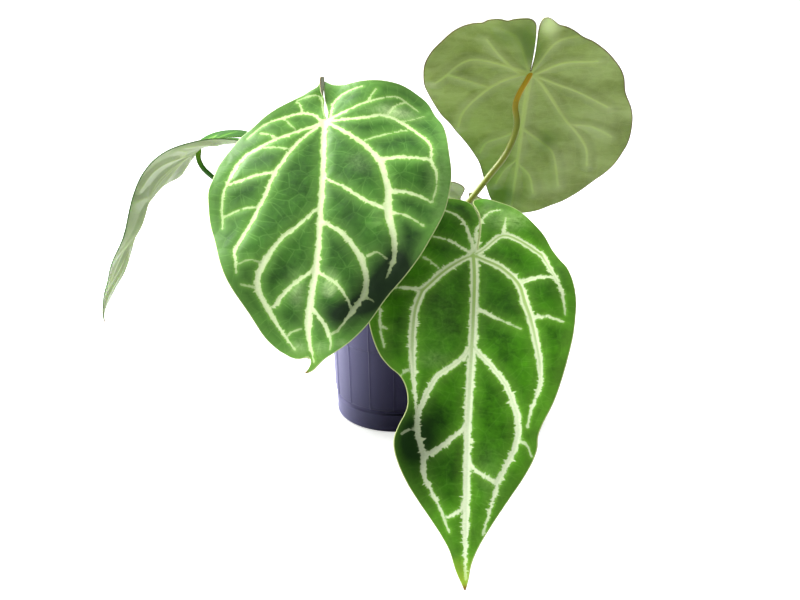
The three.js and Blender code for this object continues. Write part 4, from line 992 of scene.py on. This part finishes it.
def leaf_under(name, tones, tip):
    """Underside of the leaf: smooth, matt, pale grey-green with raised yellow-green ribs and a fine net,
    and darker cloudy patches of 30 mm where the upper side shows through. Light passes a little way into
    it. The attributes are those of the upper skin."""
    material, tree = blank(name)
    flat = add(tree, "Attribute", out="Vector", attribute_name="flat")
    inside = add(tree, "SeparateXYZ", [add(tree, "Attribute", out="Vector", attribute_name="vein")])
    rim, shade = (add(tree, "Attribute", out="Fac", attribute_name=key) for key in ("rim", "shade"))
    clouds = add(tree, "TexNoise", {"Vector": flat, "Scale": 0.035, "Detail": 3.0, "Roughness": 0.6})
    green = coat(tree, tones["under"], tones["under_dark"], clouds, 0.35, 0.68, soft=False)
    green = coat(tree, green, tones["under_pale"], inside, -5.0, 0.0, 0.45)

    # Net of 8 mm meshes and one of 1.6 mm, both only a little lighter than the green.
    warp = add(tree, "TexNoise", {"Vector": flat, "Scale": 0.16, "Detail": 2.0}, out="Color")
    bent = add(tree, "VectorMath", [warp, (5.0, 5.0, 0.0), flat], operation="MULTIPLY_ADD")
    lines = []
    for scale, evenness, width, most in ((0.12, 0.85, 0.06, 0.18), (0.6, 1.0, 0.12, 0.12)):
        mesh = add(tree, "TexVoronoi", {"Vector": bent, "Scale": scale, "Randomness": evenness},
                   feature="DISTANCE_TO_EDGE", voronoi_dimensions="2D")
        lines.append(add(tree, "MapRange", [mesh, width, 0.0, 0.0, most]))
    net = add(tree, "Math", [lines[0], lines[1]], operation="MAXIMUM")
    green = add(tree, "Mix", {0: net, 6: green, 7: tones["rib"]}, data_type="RGBA")

    # Hair-fine dark lines, 0.8 mm apart and 8 mm long, and soft pale streaks of 10 mm by 40 mm run across
    # the blade.
    for stretch, detail, rough, tone, start, end, most in (
            ((0.12, 1.3, 0.0), 3.0, 0.6, "under_dark", 0.45, 0.75, 0.35),
            ((0.025, 0.1, 0.0), 2.0, 0.5, "under_pale", 0.48, 0.7, 0.3)):
        streak = add(tree, "VectorMath", [bent, stretch], operation="MULTIPLY")
        streak = {"Vector": streak, "Scale": 1.0, "Detail": detail, "Roughness": rough}
        streak = add(tree, "TexNoise", streak)
        green = coat(tree, green, tones[tone], streak, start, end, most, soft=False)

    # Ribs, the rolled margin, the dry beak, and the painted sheen and painted shade of the shade attribute's
    # patches.
    colour = coat(tree, green, tones["rib"], inside, -0.7, 0.5, tones["ribs"])
    colour = coat(tree, colour, tones["under_margin"], rim, 1.0, 0.4, 0.85)
    away = add(tree, "VectorMath", [flat, (*tip, 0.0)], operation="DISTANCE")
    colour = coat(tree, colour, "#7d4a24", away, 5.5, 1.5, 0.85)
    colour = coat(tree, colour, tones["painted_sheen"], shade, 0.0, 1.0, 0.8, soft=False)
    colour = coat(tree, colour, tones["deep_shade"], shade, 0.0, -1.0, 0.88, soft=False)

    # Relief: the blade is quilted, rising 2.4 mm to each rib over the 7 mm beside it, and the nets stand
    # out 0.3 mm.
    quilt = add(tree, "MapRange", [inside, -7.0, 0.5], **SMOOTH)
    quilt = add(tree, "Bump", {"Height": quilt, "Strength": 1.0, "Distance": 0.0024})
    relief = add(tree, "Math", [lines[0], 0.6, lines[1]], operation="MULTIPLY_ADD")
    bump = add(tree, "Bump", {"Height": relief, "Normal": quilt, "Strength": 0.5, "Distance": 0.0003})
    return finished(material, {"Base Color": colour, "Normal": bump, "Roughness": 0.5, "IOR": 1.42,
                               "Specular IOR Level": 0.35, "Subsurface Weight": 0.7,
                               "Subsurface Radius": (0.8, 1.0, 0.3), "Subsurface Scale": 0.0012})


def stalk_skin(name, foot, middle, fibre, joint, joint_from):
    """Skin of a leaf stalk: smooth, waxy and full of water, green with lines of paler fibres, 0.7 mm apart
    and 11 mm long, dark spots of 4 mm, and another colour in the joint under the blade. skin holds the
    length along in mm, the length round in mm, and the share of the whole length."""
    material, tree = blank(name)
    place = add(tree, "Attribute", out="Vector", attribute_name="skin")
    share = add(tree, "SeparateXYZ", [place], out="Z")
    stretched = add(tree, "VectorMath", [place, (0.09, 1.5, 0.0)], operation="MULTIPLY")
    fibres = add(tree, "TexNoise", {"Vector": stretched, "Scale": 1.0, "Detail": 4.0, "Roughness": 0.6})
    spots = add(tree, "TexCoord", out="Object")
    spots = add(tree, "TexNoise", {"Vector": spots, "Scale": 260.0, "Detail": 3.0})
    colour = coat(tree, foot, middle, share, 0.0, 0.5)
    colour = coat(tree, colour, joint, share, joint_from - 0.08, joint_from + 0.06)
    colour = coat(tree, colour, fibre, fibres, 0.3, 0.75, 0.4, soft=False)
    colour = coat(tree, colour, foot, spots, 0.58, 0.8, 0.5, soft=False)
    bump = add(tree, "Bump", {"Height": fibres, "Strength": 0.3, "Distance": 0.0002})
    return finished(material, {"Base Color": colour, "Normal": bump, "Roughness": 0.36, "IOR": 1.42,
                               "Specular IOR Level": 0.45})


def moulded_polypropylene():
    """Thin injection-moulded polypropylene, coloured a purplish black in the mass: satin, a little milky at
    a slant, with flow marks 11 mm wide and 44 mm tall and a faint grain of 0.7 mm. Lilac dust lies on it in
    specks all over. Its left side is painted pale lilac as painted light, standing in for the light that
    falls
    on that side: it grows from nothing at x = 8 mm to x = -45 mm as the power 2.5."""
    material, tree = blank("moulded_polypropylene")
    place = add(tree, "TexCoord", out="Object")
    tall = add(tree, "Mapping", {"Vector": place, "Scale": (1, 1, 0.25)})
    flow = add(tree, "TexNoise", {"Vector": tall, "Scale": 90.0, "Detail": 3.0})
    grain = add(tree, "TexNoise", {"Vector": place, "Scale": 1500.0, "Detail": 2.0})
    dust = add(tree, "TexNoise", {"Vector": place, "Scale": 420.0, "Detail": 5.0, "Roughness": 0.75})
    colour = coat(tree, "#07070f", "#0d0c1a", flow, 0.3, 0.7, soft=False)
    # Painted light: the pot's left side turns pale lilac, standing in for the light that falls on it.
    painted_left_light = add(tree, "MapRange", [add(tree, "SeparateXYZ", [place]), 0.008, -0.045])
    painted_left_light = add(tree, "Math", [painted_left_light, 2.5], operation="POWER")
    colour = add(tree, "Mix", {0: painted_left_light, 6: colour, 7: "#a4a2d2"}, data_type="RGBA")
    colour = coat(tree, colour, "#8a86a8", dust, 0.66, 0.8, 0.35, soft=False)
    rough = add(tree, "MapRange", [dust, 0.2, 0.8, 0.34, 0.52])
    bump = add(tree, "Bump", {"Height": grain, "Strength": 0.25, "Distance": 0.0001})
    return finished(material, {"Base Color": colour, "Normal": bump, "Roughness": rough, "IOR": 1.49,
                               "Specular IOR Level": 0.4, "Specular Tint": "#c4bcff", "Sheen Weight": 0.66,
                               "Sheen Roughness": 0.2, "Sheen Tint": "#aaa2ee"})


def crumbly(name, dark, light, size, rough, bump_depth):
    """A dry crumbly ground, bark, papery sheath or mineral grain: two tones in patches of the given size in
    mm, with a fine grain a fifth as large, both raised by bump_depth in mm."""
    material, tree = blank(name)
    place = add(tree, "TexCoord", out="Object")
    patch = add(tree, "TexNoise", {"Vector": place, "Scale": 1000 / size, "Detail": 6.0, "Roughness": 0.7})
    grain = add(tree, "TexNoise", {"Vector": place, "Scale": 5000 / size, "Detail": 3.0})
    colour = coat(tree, dark, light, patch, 0.3, 0.72, soft=False)
    relief = add(tree, "Math", [grain, 0.5, patch], operation="MULTIPLY_ADD")
    bump = add(tree, "Bump", {"Height": relief, "Strength": 0.8, "Distance": bump_depth / 1000})
    return finished(material, {"Base Color": colour, "Normal": bump, "Roughness": rough, "IOR": 1.45,
                               "Specular IOR Level": 0.3})


# The finishes' colours and strengths. Above: two greens and how strongly they mottle, the net, the broad
# band by margin and veins (band, glow), the halo beside a vein, the vein, its edge and its middle line
# (core), the teeth and spurs in mm, the pale tip, the gloss, and the colours of the margin, of painted sheen
# and of painted shade. Under...: the underside, with its ribs and margin.
TONES = {
    "bright": dict(
        dark="#1a3e0f", green="#4b852a", mottle=0.34, net_line="#8cc660", net=0.42, band_green="#74aa4a",
        band=0.47, glow=0.48, halo_green="#88c24c", halo=0.42, vein="#eefad0", vein_edge="#cee6a0",
        vein_core="#d2ee98", core=0.2, fringe=0.5, spur=1.1, tip=0.1, gloss=0.3, margin="#c9d894",
        painted_sheen="#c8e8a0", deep_shade="#071d08", under="#9ca382", under_dark="#7c866a", under_pale="#acb28e",
        rib="#abb480", ribs=0.8, under_margin="#6e5a3c"),
    "deep": dict(
        dark="#0c2c03", green="#4e9614", mottle=0.34, net_line="#74b044", net=0.34, band_green="#6fa436",
        band=0.34, glow=0.34, halo_green="#8ac648", halo=0.45, vein="#f2fbe0", vein_edge="#dcecba",
        vein_core="#8fb844", core=0.85, fringe=0.7, spur=2.0, tip=0.55, gloss=0.12, margin="#c4cf8a",
        painted_sheen="#a9cf7c", deep_shade="#0a2406", under="#8fa465", under_dark="#6f8a45", under_pale="#a3b577",
        rib="#a4be62", ribs=1.0, under_margin="#6e5434"),
    "turned": dict(
        dark="#1c4410", green="#3f7a20", mottle=0.3, net_line="#70ac44", net=0.3, band_green="#4a8428",
        band=0.3, glow=0.3, halo_green="#6fa83c", halo=0.3, vein="#94c458", vein_edge="#7cb440",
        vein_core="#8cc04c", core=0.2, fringe=0.75, spur=1.2, tip=0.1, gloss=0.06, margin="#5f8c34",
        painted_sheen="#c4e49a", deep_shade="#0c1c0e", under="#9dae82", under_dark="#8c9e70", under_pale="#a9b88c",
        rib="#a0b866", ribs=0.45, under_margin="#3a5a30"),
}
TONES["olive"] = dict(TONES["deep"], painted_sheen="#dde5b2", deep_shade="#527400", under="#93a65c",
                      under_dark="#70823a", under_pale="#aab974", rib="#a9bd6a", ribs=0.75,
                      under_margin="#5e4630")
TONES["small"] = dict(TONES["bright"], under="#9eb278", under_dark="#7e9360", under_pale="#afc283",
                      rib="#aac576")


# The plant: for each leaf its rays and rings, its stalk's colours and where the joint's colour begins, and
# the stalk's radius in mm and how much the joint adds to it

pale_green = ("#5b6b2a", "#6f8f35", "#98a450", "#86a04a", 0.93)
build = {
    "front_left": (250, 90, pale_green, 1.75, 0.4),
    "front_right": (250, 90, pale_green, 1.75, 0.4),
    "back_right": (170, 60, ("#4e5c22", "#6a7826", "#a2a238", "#b8920c", 0.86), 1.95, -0.3),
    "left": (150, 54, ("#1e4a08", "#1e5204", "#3f8a10", "#6f9a14", 0.97), 1.55, 0.1),
    "back": (110, 40, pale_green, 1.6, 0.4),
}
fine = 1.0
for key, leaf in LEAVES.items():
    rays, rings, colours, thickness, swell = build[key]
    tones, tip = TONES[leaf["look"]], leaf["right"][-1]
    skins = [leaf_upper(f"velvet_leaf_{key}", tones, tip), leaf_under(f"leaf_underside_{key}", tones, tip)]
    piece = blade(f"leaf_{key}", leaf, int(rays * fine), int(rings * fine), skins)
    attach(piece, "root")
    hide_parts(f"blade_{key}")
    piece = stalk(f"leaf_stalk_{key}", leaf, stalk_skin(f"stalk_skin_{key}", *colours), thickness, swell)
    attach(piece, "root")
    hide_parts(f"stalk_{key}")

piece = pot([moulded_polypropylene()])
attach(piece, "root")
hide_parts("pot")

piece = potting_mix([crumbly("damp_peat_and_coir", "#17100b", "#3f2c1e", 2.5, 0.9, 0.8),
                     crumbly("pine_bark_chips", "#3a2215", "#7a5132", 2.2, 0.75, 0.5),
                     crumbly("perlite_grains", "#c9c5ba", "#f1efe8", 1.0, 0.85, 0.3)])
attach(piece, "root")
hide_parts("potting_mix")

piece = stem([crumbly("corky_stem_skin", "#4c4a26", "#8a8450", 3.0, 0.65, 0.4),
              crumbly("papery_sheaths", "#5c3d22", "#a98a5c", 1.6, 0.7, 0.3)])
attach(piece, "root")
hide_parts("stem")


# Floor: a white board 0.3 mm under the pot, a little bright of its own to the camera alone, so that it runs
# into the white studio behind it

paint, tree = blank("matt_white_board")
seen = add(tree, "LightPath", out="Is Camera Ray")
finished(paint, {"Base Color": "#e4e4e6", "Roughness": 0.9, "Emission Color": "#ffffff",
                 "Emission Strength": add(tree, "Math", [seen, 0.55], operation="MULTIPLY")})
corners = [(6000 * x, 6000 * y, -0.3) for x, y in ((-1, -1), (1, -1), (1, 1), (-1, 1))]
ground = mesh_of("white_floor", corners, [(0, 1, 2, 3)], [paint])


# Light: a white studio, brighter from above, from the left and from the rear, and a softbox 1.6 m away at
# the rear left. The camera sees the studio plain white.

world = bpy.data.worlds.new("white_studio")
bpy.context.scene.world = world
world.use_nodes = True
tree = world.node_tree
tree.nodes.clear()
right, rear, up = add(tree, "SeparateXYZ", [add(tree, "TexCoord", out="Generated")]).node.outputs
light = 0.0
for way, dark, bright, least, most in ((up, 0.0, 1.0, 0.03, 0.6), (right, 0.3, -1.0, 0.0, 0.6),
                                       (rear, -0.3, 1.0, 0.0, 0.5)):
    part = add(tree, "MapRange", [way, dark, bright, least, most])
    light = add(tree, "Math", [light, part], operation="ADD")
seen = add(tree, "LightPath", out="Is Camera Ray")
level = add(tree, "Mix", {0: seen, 2: light, 3: 1.1}, data_type="FLOAT")
glow = add(tree, "Background", {"Color": "#ffffff", "Strength": level})
add(tree, "OutputWorld", {"Surface": glow})

lamp = bpy.data.lights.new("softbox", "AREA")
lamp.shape = "RECTANGLE"
lamp.size = 0.9
lamp.size_y = 0.9
lamp.energy = 75
softbox = bpy.data.objects.new("softbox", lamp)
softbox.location = (-1.05, 0.42, 1.25)
softbox.rotation_euler = (Vector((0, 0, 0.12)) - softbox.location).to_track_quat("-Z", "Y").to_euler()
bpy.context.scene.collection.objects.link(softbox)


# Camera: 0.73 m from the pot's foot, looking down by 21.3 degrees

eye = bpy.data.cameras.new("camera")
eye.lens = 50
eye.sensor_width = 36
camera = bpy.data.objects.new("camera", eye)
camera.location = (0.0026, -0.656, 0.330)
camera.rotation_euler = (np.radians(90 - 21.3), 0, 0)
bpy.context.scene.collection.objects.link(camera)
bpy.context.scene.camera = camera
bpy.context.scene.view_settings.view_transform = "Standard"
